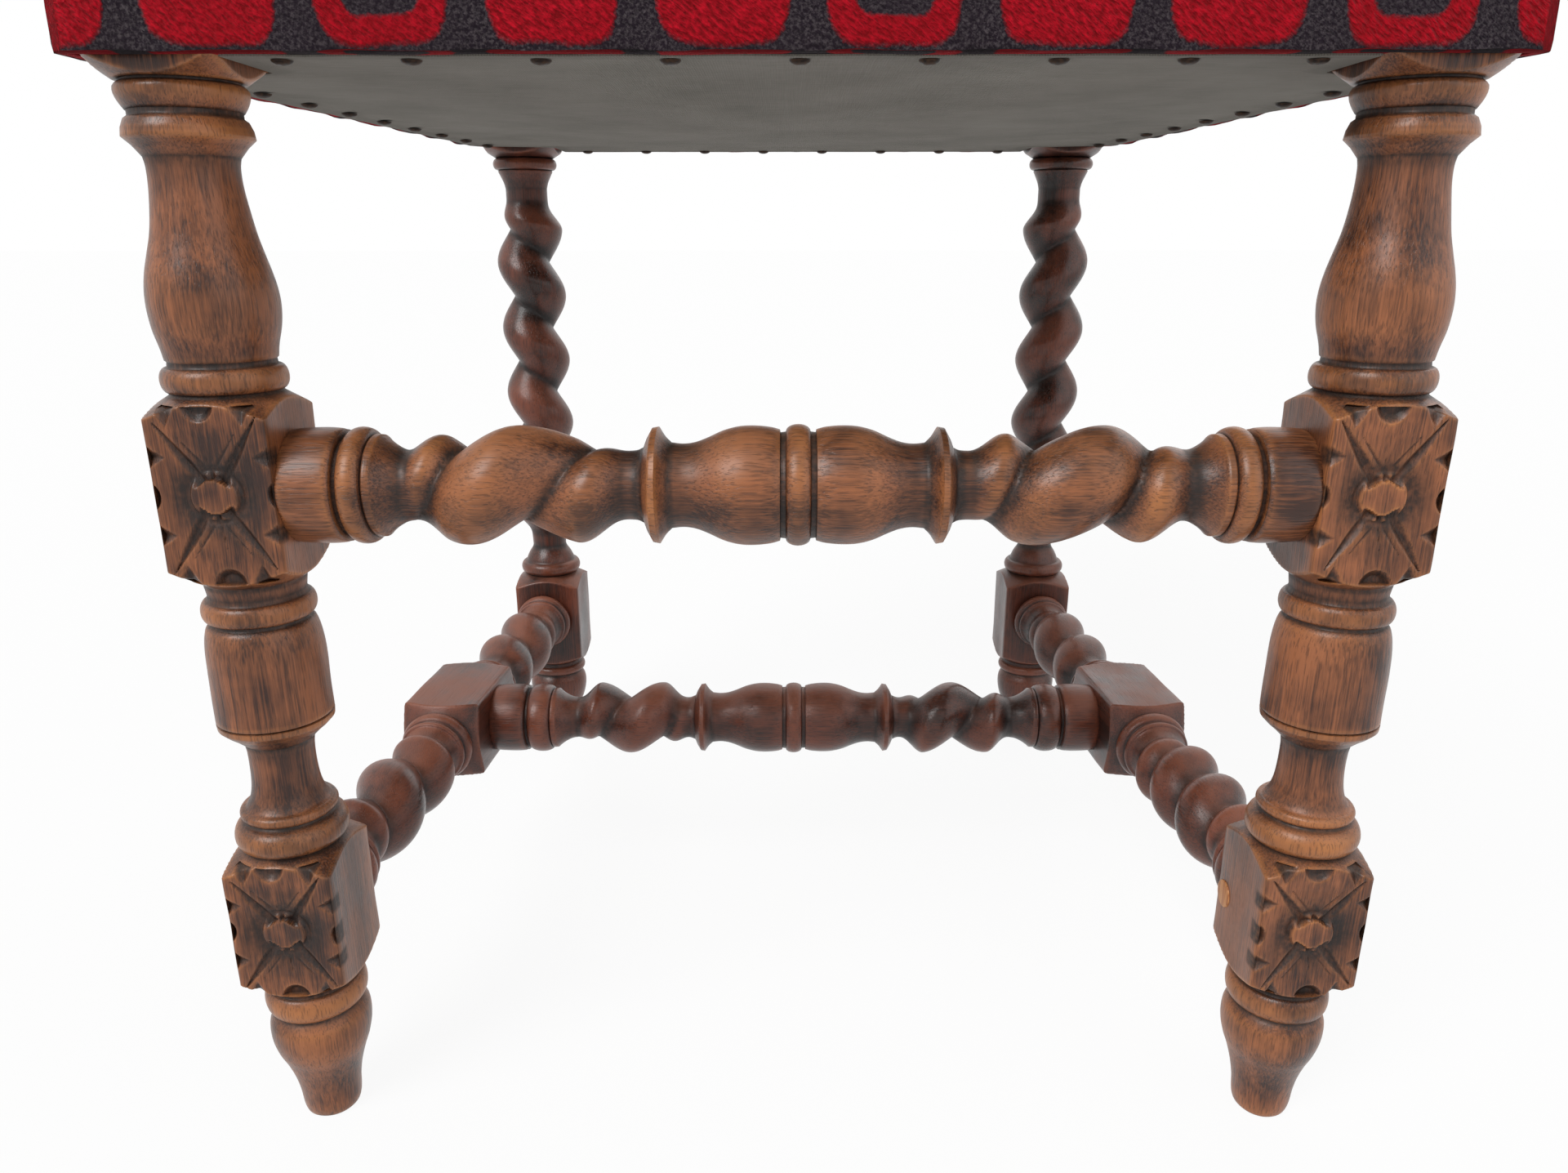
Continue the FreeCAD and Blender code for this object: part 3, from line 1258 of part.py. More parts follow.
def back_upholstery():
    frame = back_frame()
    half_x = size(HALF_REAR) - size("post_square") / 2 - size("back_side_gap")
    low = size(minus(BACK_LOW, "back_rail_height / 2"))
    high = size(plus(BACK_HIGH, "back_rail_height / 2"))
    gap, cloth, web = size("cover_gap"), size("cover_thickness"), size("web_thickness")
    face = size("back_rail_thickness") / 2
    width = size("web_width")
    inner_x = half_x - cloth - gap
    uprights = []
    for x in strips(2 * inner_x, width, size("back_web_gap")):
        strip = back_box(width / 2, face + web, face, low + cloth, high - cloth)
        strip.translate(Vector(x, 0, 0))
        uprights.append(strip)
    node(shape_feature("back_webs", Part.makeCompound(uprights), frame), "back_webbing")
    hessian_front = face + web + size("hessian_thickness")
    hessian = back_box(inner_x, hessian_front, face + web, low + cloth, high - cloth)
    node(shape_feature("back_hess", hessian, frame), "back_hessian")
    depth, round_edge = size("back_stuffing_depth"), size("back_stuffing_round")
    stuffing_front = hessian_front + depth
    drop = size("stuffing_drop") / 2
    inner = back_plan(inner_x, low, high)
    stuffing = pillow(crown_levels(0, hessian_front, stuffing_front, round_edge, drop), inner)
    node(shape_feature("back_fill", stuffing, frame), "back_stuffing")

    outer = pillow(crown_levels(cloth + gap, -face, stuffing_front + cloth + gap,
                                round_edge + cloth, drop), inner)
    hollow = pillow(crown_levels(gap, -face - gap, stuffing_front + gap, round_edge, drop), inner)
    rails = back_box(half_x + cloth, face + gap, -face - gap, low - gap, high + gap)
    cover = outer.cut(Part.makeCompound([hollow, rails]))
    node(shape_feature("back_front_cloth", cover, frame), "back_cover")
    sheet = back_box(half_x - gap, -face, -face - size("dust_thickness"), low, high)
    sheet = sheet.cut(Part.makeCompound(back_tacks(gap)))
    node(shape_feature("back_rear_cloth", sheet, frame), "back_outside_cloth")
    node(shape_feature("back_tack_set", Part.makeCompound(back_tacks(0.0)), frame),
         "back_cloth_tacks")


def back_tacks(play):
    """Tacks round the edge of the cloth on the outside of the back, or room for them."""
    half_x = size(HALF_REAR) - size("post_square") / 2 - size("back_side_gap")
    low = size(minus(BACK_LOW, "back_rail_height / 2"))
    high = size(plus(BACK_HIGH, "back_rail_height / 2"))
    inset = size("tack_inset")
    spots = []
    for z in (low + inset, high - inset):
        count = max(2, round(2 * (half_x - inset) / size("tack_spacing")) + 1)
        for index in range(count):
            share = index / (count - 1)
            spots.append((-(half_x - inset) + 2 * (half_x - inset) * share, z))
    count = max(2, round((high - low - 2 * inset) / size("tack_spacing")) + 1)
    for index in range(1, count - 1):
        z = low + inset + (high - low - 2 * inset) * index / (count - 1)
        spots.extend([(-(half_x - inset), z), (half_x - inset, z)])
    y = size("back_rail_thickness") / 2 + size("dust_thickness")
    return [tack(Vector(x, y, z), Vector(0, -1, 0), play) for x, z in spots]


write_sizes()
leg_squares = shape_feature("leg_squares", Part.makeCompound(leg_boxes(0, 0, size(RAIL_TOP))))
plug_spot = Vector(size(HALF_FRONT) - size("front_square") / 2,
                   size(FRONT_Y) + size("plug_back"),
                   size("lower_block_bottom + lower_block_height / 2 - plug_drop"))
plug_room = Part.makeCylinder(size("plug_radius"), size("plug_depth"), plug_spot, Vector(1, 0, 0))
mortises = [mortise(spot, way) for side in SIDES.values() for spot, way in arm_ends(side)]
mortises += [mortise(spot, way) for spot, way in front_bar_ends()]
mortises += [rail_mortise(name) for name in ("front", "rear", "left", "right")]
mortises += [back_mortise(middle) for middle in (BACK_LOW, BACK_HIGH)]
leg_sockets = shape_feature("leg_sockets", Part.makeCompound(mortises + [plug_room]))
middle_squares = shape_feature("middle_squares", Part.makeCompound(
    [middle_box(side) for side in SIDES.values()]))
middle_sockets = shape_feature("middle_sockets", Part.makeCompound(
    [mortise(spot, way) for spot, way in cross_bar_ends()]))
play = size("tenon_clearance")
screw_rooms = [screw(spot, way, play, size("brace_width")) for spot, way in screw_spots()]
screw_room = shape_feature("screw_room", Part.makeCompound(screw_rooms))
rail_room = shape_feature("rail_room", Part.makeCompound(screw_rooms + tack_shapes(play)))
back_tack_room = shape_feature("back_tack_room", Part.makeCompound(back_tacks(play)), back_frame())

for name, side in SIDES.items():
    node(cut("front_leg_cut_" + name, front_leg(name, side), leg_sockets), "front_leg_" + name)
for name, side in SIDES.items():
    node(rear_leg(name, side, leg_sockets), "rear_leg_" + name)
for name, side in SIDES.items():
    side_stretcher(name, side)
front_stretcher()
cross_stretcher()
repair_plug()
for name in ("front", "rear", "left", "right"):
    seat_rail(name)
for end in ("front", "rear"):
    for name, side in SIDES.items():
        corner_block(end, name, side)
for name, middle in (("lower", BACK_LOW), ("top", BACK_HIGH)):
    back_rail(name, middle)
for name, side in SIDES.items():
    back_stile(name, side)
screws = [screw(spot, way, 0.0, 0.0) for spot, way in screw_spots()]
node(shape_feature("screws", Part.makeCompound(screws)), "corner_block_screws")
seat_webbing()
seat_upholstery()
back_upholstery()

doc.recompute()
for item in doc.Objects:
    if "Invalid" in item.State or "Error" in item.State:
        raise RuntimeError("%s did not compute: %s" % (item.Label, item.State))
os.makedirs("parts", exist_ok=True)
for item in nodes:
    if item.Shape.isNull() or not item.Shape.isValid():
        raise RuntimeError("the shape of %s is not sound" % item.Label)
    item.Shape.exportStep("parts/%s.step" % item.Label)
    print("%-26s solids %2d  volume %10.1f" % (
        item.Label, len(item.Shape.Solids), item.Shape.Volume))
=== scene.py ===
import math

import bpy
import numpy as np
from mathutils import Matrix, Vector


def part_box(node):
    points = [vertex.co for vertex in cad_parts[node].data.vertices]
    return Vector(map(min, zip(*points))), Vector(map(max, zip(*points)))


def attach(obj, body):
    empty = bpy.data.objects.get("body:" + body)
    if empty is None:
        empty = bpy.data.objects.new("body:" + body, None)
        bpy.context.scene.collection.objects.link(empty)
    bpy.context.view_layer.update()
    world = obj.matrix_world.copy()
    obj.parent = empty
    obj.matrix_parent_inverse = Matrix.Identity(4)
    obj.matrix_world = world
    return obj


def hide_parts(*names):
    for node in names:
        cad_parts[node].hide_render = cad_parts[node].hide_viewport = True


# An oak side chair with carved and twist-turned legs and an upholstered seat and back.
# Lengths are in millimetres in the turnings and in metres in the scene.

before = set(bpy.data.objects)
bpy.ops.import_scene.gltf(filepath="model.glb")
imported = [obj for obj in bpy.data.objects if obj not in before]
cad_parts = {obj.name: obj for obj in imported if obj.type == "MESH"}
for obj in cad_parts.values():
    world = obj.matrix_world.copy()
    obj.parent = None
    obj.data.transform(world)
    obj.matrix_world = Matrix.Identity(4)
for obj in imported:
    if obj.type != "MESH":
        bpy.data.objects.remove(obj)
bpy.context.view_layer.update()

MM = 0.001
PHOTO_WIDTH = 1920
SENSOR_WIDTH = 36.0
FOCAL_PIXELS = 1356.5
CAMERA_TO_FRONT_LEGS = 0.4101
CAMERA_X = -0.0046
CAMERA_HEIGHT = 0.3743
CAMERA_PITCH = 17.573
CAMERA_YAW = 0.103
CAMERA_ROLL = -0.03


# Where the pieces stand, read from the frame

def middle(node):
    low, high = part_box(node)
    return (low + high) / 2


SIDES = {"left": -1, "right": 1}
front_leg_low, front_leg_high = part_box("front_leg_right")
rear_leg_low, rear_leg_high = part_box("rear_leg_right")
FRONT_SQUARE = front_leg_high.x - front_leg_low.x
REAR_SQUARE = rear_leg_high.x - rear_leg_low.x
FRONT_X = middle("front_leg_right").x
FRONT_Y = middle("front_leg_right").y
REAR_X = middle("rear_leg_right").x
REAR_Y = rear_leg_low.y + REAR_SQUARE / 2
RAIL_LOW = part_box("seat_rail_front")[0].z
STRETCHER_HEIGHT = middle("cross_stretcher").z
CROSS_Y = middle("cross_stretcher").y
FRONT_STRETCHER_HEIGHT = middle("front_stretcher").z

# The back leans from this bend
RAKE_START = 0.490
RAKE_ANGLE = math.radians(6)

# Square in the middle of each side stretcher
MIDDLE_SQUARE = 0.043
MIDDLE_LENGTH = 66.0


# Shapes of turned wood: each stroke gives rows of (height, radius) in millimetres

BEYOND = 60.0
ROW = 1.1


def spaced(low, high, step=ROW):
    return np.linspace(low, high, max(2, int(math.ceil(abs(high - low) / step)) + 1))


def curve(*points):
    """A smooth line through points of height and radius."""
    p = np.array(points, float)
    t = np.concatenate([[0], np.cumsum(np.hypot(*np.diff(p, axis=0).T))])
    slope = np.empty_like(p)
    slope[1:-1] = (p[2:] - p[:-2]) / (t[2:] - t[:-2])[:, None]
    slope[0] = (p[1] - p[0]) / (t[1] - t[0])
    slope[-1] = (p[-1] - p[-2]) / (t[-1] - t[-2])
    s = spaced(0, t[-1])
    i = np.clip(np.searchsorted(t, s, side="right") - 1, 0, len(t) - 2)
    length = t[i + 1] - t[i]
    u = ((s - t[i]) / length)[:, None]
    length = length[:, None]
    return ((2 * u ** 3 - 3 * u ** 2 + 1) * p[i] + (u ** 3 - 2 * u ** 2 + u) * length * slope[i]
            + (3 * u ** 2 - 2 * u ** 3) * p[i + 1] + (u ** 3 - u ** 2) * length * slope[i + 1])


def line(*points):
    """A broken line whose corners stay sharp."""
    rows = [np.array(points[:1], float)]
    for start, end in zip(points, points[1:]):
        start, end = np.array(start, float), np.array(end, float)
        count = max(1, int(math.ceil(np.hypot(*(end - start)) / ROW)))
        share = (np.arange(count) + 1)[:, None] / count
        rows.append(start + (end - start) * share)
    return np.vstack(rows)


def ring(low, high, side, top, skew=0.0):
    """A half-round moulding that stands out from side to top."""
    turn = np.linspace(0, math.pi, 13)
    height = (low + high) / 2 - (high - low) / 2 * np.cos(turn) + skew * np.sin(turn)
    return np.stack([height, side + (top - side) * np.sin(turn)], axis=1)


SHOULDER_REACH = 5.5
CORNER_RADIUS = 32.0


def square(low, high, rise, collar, open_low=True, open_high=True, step=ROW):
    """A stretch left square; the turned shoulders cut its corners back at each end."""
    rows = []
    fine = np.linspace(0, 1, 19)[:, None]
    slope = np.array([rise + SHOULDER_REACH, CORNER_RADIUS - collar])
    if open_low:
        rows.append(np.array([low - rise, collar]) + fine * slope)
        low += SHOULDER_REACH
    if open_high:
        high -= SHOULDER_REACH
    heights = spaced(low + 0.4, high - 0.4, step)
    rows.append(np.stack([heights, np.full_like(heights, BEYOND)], axis=1))
    if open_high:
        rows.append(np.array([high, CORNER_RADIUS]) + fine * slope * np.array([1, -1]))
    return np.vstack(rows)


def turning(*strokes):
    rows = np.vstack(strokes)
    keep = np.ones(len(rows), bool)
    keep[1:] = np.hypot(*np.diff(rows, axis=0).T) > 0.02
    return rows[keep]


def foot(block_low):
    """Worn foot, bulb and ring under a leg's lowest square."""
    drop = block_low - 72.5
    return [
        curve((0, 10.6), (0.8, 11.4), (4, 12.2), (12, 12.9), (20, 14.3), (28, 16.6), (35, 19.2),
              (42, 20.7), (49, 20.6), (53, 19.0), (54.5, 17.9)),
        line((54.5, 17.9), (55.6, 17.6)),
        ring(55.8, 67.5 + drop, 18.2, 20.9),
        line((67.9 + drop, 18.0), (69.2 + drop, 18.2)),
    ]


def front_leg_rows():
    return turning(
        *foot(72.5),
        square(72.5, 132.5, 2.5, 18.8, step=0.55),
        ring(135.6, 146.6, 18.4, 22.1, -0.6),
        line((147.0, 17.2), (148.0, 16.9)),
        ring(148.2, 152.6, 16.9, 18.9),
        curve((152.8, 16.3), (155.5, 14.6), (160, 13.3), (167, 12.6), (176, 12.6), (180.5, 13.2)),
        line((180.5, 13.2), (184.4, 17.2), (186.4, 19.6)),
        line((186.4, 19.6), (188.8, 21.9), (190.8, 22.1), (191.3, 21.2), (191.9, 22.1)),
        line((191.9, 22.1), (212, 22.0)),
        curve((212, 22.0), (220, 21.7), (226, 21.0), (230, 20.0), (231.2, 19.2)),
        line((231.2, 19.2), (232.0, 18.2), (233.0, 18.2)),
        ring(233.2, 241.4, 18.6, 20.9),
        line((241.8, 18.2), (243.6, 17.8), (248.6, 18.6)),
        square(252, 317, 2.5, 19.4, step=0.55),
        ring(320.4, 329.4, 19.0, 21.5),
        line((329.8, 18.4), (331.4, 18.2), (332.0, 18.9)),
        curve((332.0, 18.9), (336, 19.6), (343, 21.3), (350, 22.0), (356, 21.7), (362, 20.6),
              (368, 19.0), (375, 17.2), (383, 15.9), (391, 15.0), (397, 14.9), (400, 15.4)),
        line((400, 15.4), (403.6, 18.2), (406.2, 21.0)),
        line((406.2, 21.0), (409.0, 20.6), (411.8, 19.4), (412.8, 18.0)),
        line((412.8, 18.0), (414.6, 18.0)),
        curve((414.6, 18.4), (416.8, 19.8), (419.6, 20.9), (421.8, 20.8), (423.2, 19.4)),
        line((423.2, 18.6), (424.0, 18.6)),
        square(426.5, 479, 2.5, 20.9, open_high=False, step=4.0),
    )


def rear_leg_rows():
    """Rows of the rear leg up to the bend, then of its back post, as if straight."""
    bend = RAKE_START / MM
    lower = [
        *foot(67),
        square(67, 132, 2.5, 18.0, step=2.5),
        ring(134.8, 143.4, 18.2, 21.4),
        curve((143.8, 17.6), (147, 16.4), (150.5, 14.6), (153.5, 12.6), (155.5, 12.0)),
        line((155.5, 12.0), (163.5, 12.2)),
        line((163.5, 12.2), (397.6, 13.8)),
        line((397.6, 13.8), (404.6, 13.8)),
        curve((404.6, 13.8), (408.5, 14.8), (412.5, 16.6), (415.4, 18.0)),
        line((415.4, 18.0), (416.2, 17.6)),
        ring(416.4, 423.6, 18.2, 21.0),
        square(426.5, bend, 2.5, 19.2, open_high=False, step=3.0),
    ]

    def post(height):
        return bend + height

    def twist_span(low, high):
        low, high = post(low), post(high)
        return [
            ring(low + 2.9, low + 9.5, 14.6, 18.4),
            curve((low + 9.8, 14.0), (low + 11.5, 12.6), (low + 13, 11.8)),
            line((low + 13, 11.8), (low + 16.5, 11.8)),
            line((low + 16.5, 11.8), (high - 16.5, 11.8)),
            curve((high - 13, 11.8), (high - 11.5, 12.6), (high - 9.8, 14.0)),
            ring(high - 9.5, high - 2.9, 14.6, 18.4),
        ]
    upper = [
        square(post(0.5), post(22), 2.5, 14.4, open_low=False, step=2.5),
        *twist_span(22, 108),
        square(post(108), post(166), 2.5, 14.4, step=2.5),
        *twist_span(166, 410),
        square(post(410), post(468), 2.5, 14.4, step=2.5),
        ring(post(470.9), post(477.5), 14.2, 18.4),
        curve((post(477.9), 13.4), (post(480), 10.6), (post(483), 9.4), (post(487), 9.6)),
        curve((post(487), 9.6), (post(489.5), 12.6), (post(495), 16.2), (post(503), 17.5),
              (post(511), 16.4), (post(517), 13.6), (post(521.5), 9.6), (post(524), 6.6)),
        curve((post(524), 6.6), (post(526), 6.2), (post(528), 4.8), (post(529.6), 1.6)),
    ]
    return turning(*lower, *upper)


def half_bar(scale, end, drum, torus, twist_inner):
    """Half a front or cross stretcher, from its middle ring to its end drum."""
    def s(radius):
        return radius * scale
    drum_start = end - drum
    torus_start = drum_start - 1.6 - torus
    step_start = torus_start - 3.5
    neck = step_start - 11
    return [
        line((4.8, s(20.0)), (6.6, s(19.8))),
        curve((6.8, s(20.9)), (10, s(21.8)), (16, s(22.4)), (22, s(22.1)), (28, s(20.6)),
              (34, s(18.0)), (38.5, s(16.4)), (43, s(15.8)), (47.6, s(16.2))),
        curve((47.6, s(16.2)), (50, s(18.6)), (52.2, s(22.0))),
        line((52.2, s(22.0)), (54.4, s(21.6)), (56.4, s(18.0)), (57.8, s(14.4))),
        curve((57.8, s(14.4)), (60.5, s(13.2)), (twist_inner, s(13.0))),
        line((twist_inner, s(13.0)), (neck, s(13.0))),
        curve((neck, s(13.0)), (neck + 4, s(13.8)), (neck + 8, s(16.0)), (step_start, s(18.4))),
        line((step_start, s(18.4)), (step_start + 0.6, s(19.2)), (torus_start - 0.6, s(19.4))),
        line((torus_start - 0.6, s(19.4)), (torus_start, s(18.8))),
        ring(torus_start + 0.2, torus_start + torus - 0.2, s(19.2), s(22.0)),
        line((drum_start - 1.4, s(19.0)), (drum_start - 0.3, s(19.0)), (drum_start, s(21.0))),
        curve((drum_start, s(20.5)), (drum_start + 1.6, s(21.4)), (drum_start + 8, s(21.8)),
              (end - 2, s(21.2)), (end, s(20.4))),
    ]


def bar_rows(scale, end, drum, torus, twist_inner):
    """A whole front or cross stretcher, both halves alike."""
    half = turning(*half_bar(scale, end, drum, torus, twist_inner))
    crown = ring(-4.6, 4.6, 20.2 * scale, 22.8 * scale)
    mirrored = half[::-1] * np.array([-1, 1])
    return turning(mirrored, crown, half)


def arm_strokes(low, high):
    """One arm of a side stretcher, between two square ends."""
    return [
        ring(low + 2.8, low + 10.4, 17.0, 19.6),
        line((low + 10.8, 16.6), (low + 11.8, 16.4)),
        ring(low + 12.0, low + 15.6, 16.4, 17.8),
        curve((low + 15.9, 16.0), (low + 18.5, 14.6), (low + 22.5, 13.5)),
        line((low + 22.5, 13.5), (high - 22.5, 13.5)),
        curve((high - 22.5, 13.5), (high - 18.5, 14.6), (high - 15.9, 16.0)),
        ring(high - 15.6, high - 12.0, 16.4, 17.8),
        line((high - 11.8, 16.4), (high - 10.8, 16.6)),
        ring(high - 10.4, high - 2.8, 17.0, 19.6),
    ]


# Surface of a turned billet

def between(value, low, high):
    """A smooth share from 0 at low to 1 at high."""
    share = np.clip((value - low) / (high - low), 0, 1)
    return share * share * (3 - 2 * share)


def even_valley(low, high, pitch, phase, hand):
    """Line of a valley that winds evenly; the crest half-way up points to the phase."""
    turn = hand * 180 * (high - low) / pitch
    return [(low, phase + 180 - turn), (high, phase + 180 + turn)]


class Twist:
    """A barley twist between two heights, whose valley winds round the wood."""

    def __init__(self, low, high, valley_line, crest, valley, run_in=20.0, run_out=20.0,
                 sharp=0.62):
        self.low, self.high = low, high
        self.heights, turns = np.array(valley_line, float).T
        self.turns = np.radians(turns)
        self.crest, self.valley = crest, valley
        self.run_in, self.run_out, self.sharp = run_in, run_out, sharp

    def line(self, height):
        """Where the valley is at a height, its bends eased over a few millimetres."""
        eased = [np.interp(height + shift, self.heights, self.turns)
                 for shift in np.linspace(-5, 5, 9)]
        return sum(eased) / len(eased)

    def apply(self, height, angle, radius):
        inside = (height > self.low) & (height < self.high)
        fade = (between(height, self.low, self.low + self.run_in)
                * (1 - between(height, self.high - self.run_out, self.high)))
        wave = (0.5 - 0.5 * np.cos(angle - self.line(height))) ** self.sharp
        wound = self.valley + (self.crest - self.valley) * wave
        return np.where(inside, radius + (wound - radius) * fade, radius)


def blur(field, rows, columns):
    """Mean over a window of rows and of columns, which close on themselves."""
    total = np.zeros_like(field)
    for shift in range(-rows, rows + 1):
        index = np.clip(np.arange(len(field)) + shift, 0, len(field) - 1)
        total += field[index]
    total /= 2 * rows + 1
    if columns:
        mean = sum(np.roll(total, shift, axis=1) for shift in range(-columns, columns + 1))
        total = mean / (2 * columns + 1)
    return total


def face_angles(columns):
    """Angles round a billet, dense enough on each face; the front face comes first."""
    angles = []
    for quarter, count in enumerate(columns):
        share = (np.arange(count) + 0.5) / count * 2 - 1
        if count < 60:
            share = 0.6 * share + 0.4 * np.sin(share * math.pi / 2)
        edge = np.concatenate([[-1.0], share])
        angles.append(-math.pi / 2 + quarter * math.pi / 2 + np.arctan(edge))
    return np.concatenate(angles)


def select_none():
    if bpy.context.mode != "OBJECT":
        bpy.ops.object.mode_set(mode="OBJECT")
    bpy.ops.object.select_all(action="DESELECT")


def only(piece):
    select_none()
    piece.select_set(True)
    bpy.context.view_layer.objects.active = piece
    return piece


def wrapped_grid(name, points):
    """A grid laid on an array of points, rows by columns, that closes round its axis."""
    row_count, column_count = points.shape[:2]
    select_none()
    bpy.ops.mesh.primitive_grid_add(x_subdivisions=column_count, y_subdivisions=row_count - 1,
                                    size=2)
    piece = bpy.context.object
    piece.name = piece.data.name = name
    place = np.empty(len(piece.data.vertices) * 3)
    piece.data.vertices.foreach_get("co", place)
    place = place.reshape(-1, 3)
    column = np.rint((place[:, 0] + 1) / 2 * column_count).astype(int) % column_count
    row = np.rint((place[:, 1] + 1) / 2 * (row_count - 1)).astype(int)
    piece.data.vertices.foreach_set("co", points[row, column].ravel())
    return piece, row, column


def seal(piece):
    """Merge the seam of a wrapped grid, close its ends and turn its faces outwards."""
    only(piece)
    bpy.ops.object.mode_set(mode="EDIT")
    bpy.ops.mesh.select_all(action="SELECT")
    bpy.ops.mesh.remove_doubles(threshold=1e-6)
    bpy.ops.mesh.select_all(action="DESELECT")
    bpy.ops.mesh.select_non_manifold(extend=False)
    bpy.ops.mesh.fill_holes(sides=0)
    bpy.ops.mesh.select_all(action="SELECT")
    bpy.ops.mesh.normals_make_consistent(inside=False)
    bpy.ops.object.mode_set(mode="OBJECT")


def smooth(piece, angle=32):
    only(piece)
    bpy.ops.object.shade_smooth_by_angle(angle=math.radians(angle))


def store(piece, name, values):
    kind = "FLOAT" if values.ndim == 1 else "FLOAT_VECTOR"
    key = "value" if values.ndim == 1 else "vector"
    attribute = piece.data.attributes.new(name, kind, "POINT")
    attribute.data.foreach_set(key, values.astype(np.float32).ravel())


def coordinates(piece):
    place = np.empty(len(piece.data.vertices) * 3)
    piece.data.vertices.foreach_get("co", place)
    return place.reshape(-1, 3)


def move_to(piece, place):
    piece.data.vertices.foreach_set("co", place.ravel())
    piece.data.update()


def normals(piece):
    way = np.empty(len(piece.data.vertices) * 3)
    piece.data.vertices.foreach_get("normal", way)
    return way.reshape(-1, 3)


def axis_matrix(origin, along, level=(1, 0, 0)):
    """Local Z runs along the billet, local Y is as near as can be to its old way."""
    z = Vector(along).normalized()
    x = Vector(level)
    x = (x - z * x.dot(z)).normalized()
    matrix = Matrix((x, z.cross(x), z)).transposed().to_4x4()
    matrix.translation = Vector(origin)
    return matrix


def hand_work(height, angle, seed):
    """Slight unevenness of hand-turned wood, in millimetres."""
    random = np.random.default_rng(seed)
    total = np.zeros_like(height)
    for wave in range(5):
        length = random.uniform(25, 90)
        turns = random.integers(0, 4)
        total += np.sin(height / length * 2 * math.pi + turns * angle
                        + random.uniform(0, 2 * math.pi))
    return total * 0.05


def billet(name, rows, half, matrix, columns=(20, 20, 20, 20), twists=(), carvings=(), seed=1,
           corner=22.0, bend=None):
    """A turned, twisted and squared piece of wood, with its wear and its grain stored on it."""
    angle = face_angles(columns)[None, :]
    height = rows[:, :1]
    half = np.broadcast_to(np.asarray(half, float).reshape(-1, 1), height.shape)
    radius = np.broadcast_to(rows[:, 1:2], (len(rows), angle.shape[1])).copy()
    for twist in twists:
        radius = twist.apply(height, angle, radius)
    spread = np.abs(np.cos(angle)) ** corner + np.abs(np.sin(angle)) ** corner
    side = half / spread ** (1 / corner)
    radius = np.minimum(radius, side)
    radius = radius + hand_work(height + 0 * angle, angle + 0 * height, seed)
    x = radius * np.cos(angle)
    y = radius * np.sin(angle)
    for carving in carvings:
        y = y + carving.depth(x, height + 0 * x, np.abs(angle + math.pi / 2) < math.pi / 4)
    carved = np.hypot(x, y)
    near = carved - blur(carved, 2, 1)
    wide = carved - blur(carved, 7, 0)
    worn = np.clip(near / 0.28, 0, 1) * 0.7 + np.clip(wide / 1.6, 0, 1) * 0.5
    # Concave places, which the oak mixes towards its darkest colour.
    hollow = np.clip(-near / 0.25, 0, 1) * 0.8 + np.clip(-wide / 1.7, 0, 1) * 0.75
    for carving in carvings:
        hollow = np.maximum(hollow, carving.hollow_dark(x, height + 0 * x, y + half))
    z = height + 0 * x
    local = np.stack([x, y, z], axis=2)
    grain = local.copy()
    if bend is not None:
        local = bend(local)
    world = local @ np.array(matrix.to_3x3()).T * MM + np.array(matrix.translation)
    piece, row, column = wrapped_grid(name, world)
    store(piece, "worn", np.clip(worn, 0, 1)[row, column])
    store(piece, "hollow", np.clip(hollow, 0, 1)[row, column])
    offset = np.random.default_rng(seed + 100).uniform(-400, 400, 3)
    store(piece, "grain", (grain + offset)[row, column] * MM)
    seal(piece)
    smooth(piece, 58)
    # How far each point faces up: the oak paints these tops paler, partly as dust and rubbing,
    # partly as painted light from above.
    store(piece, "dust", np.clip((normals(piece)[:, 2] - 0.25) / 0.6, 0, 1))
    return piece


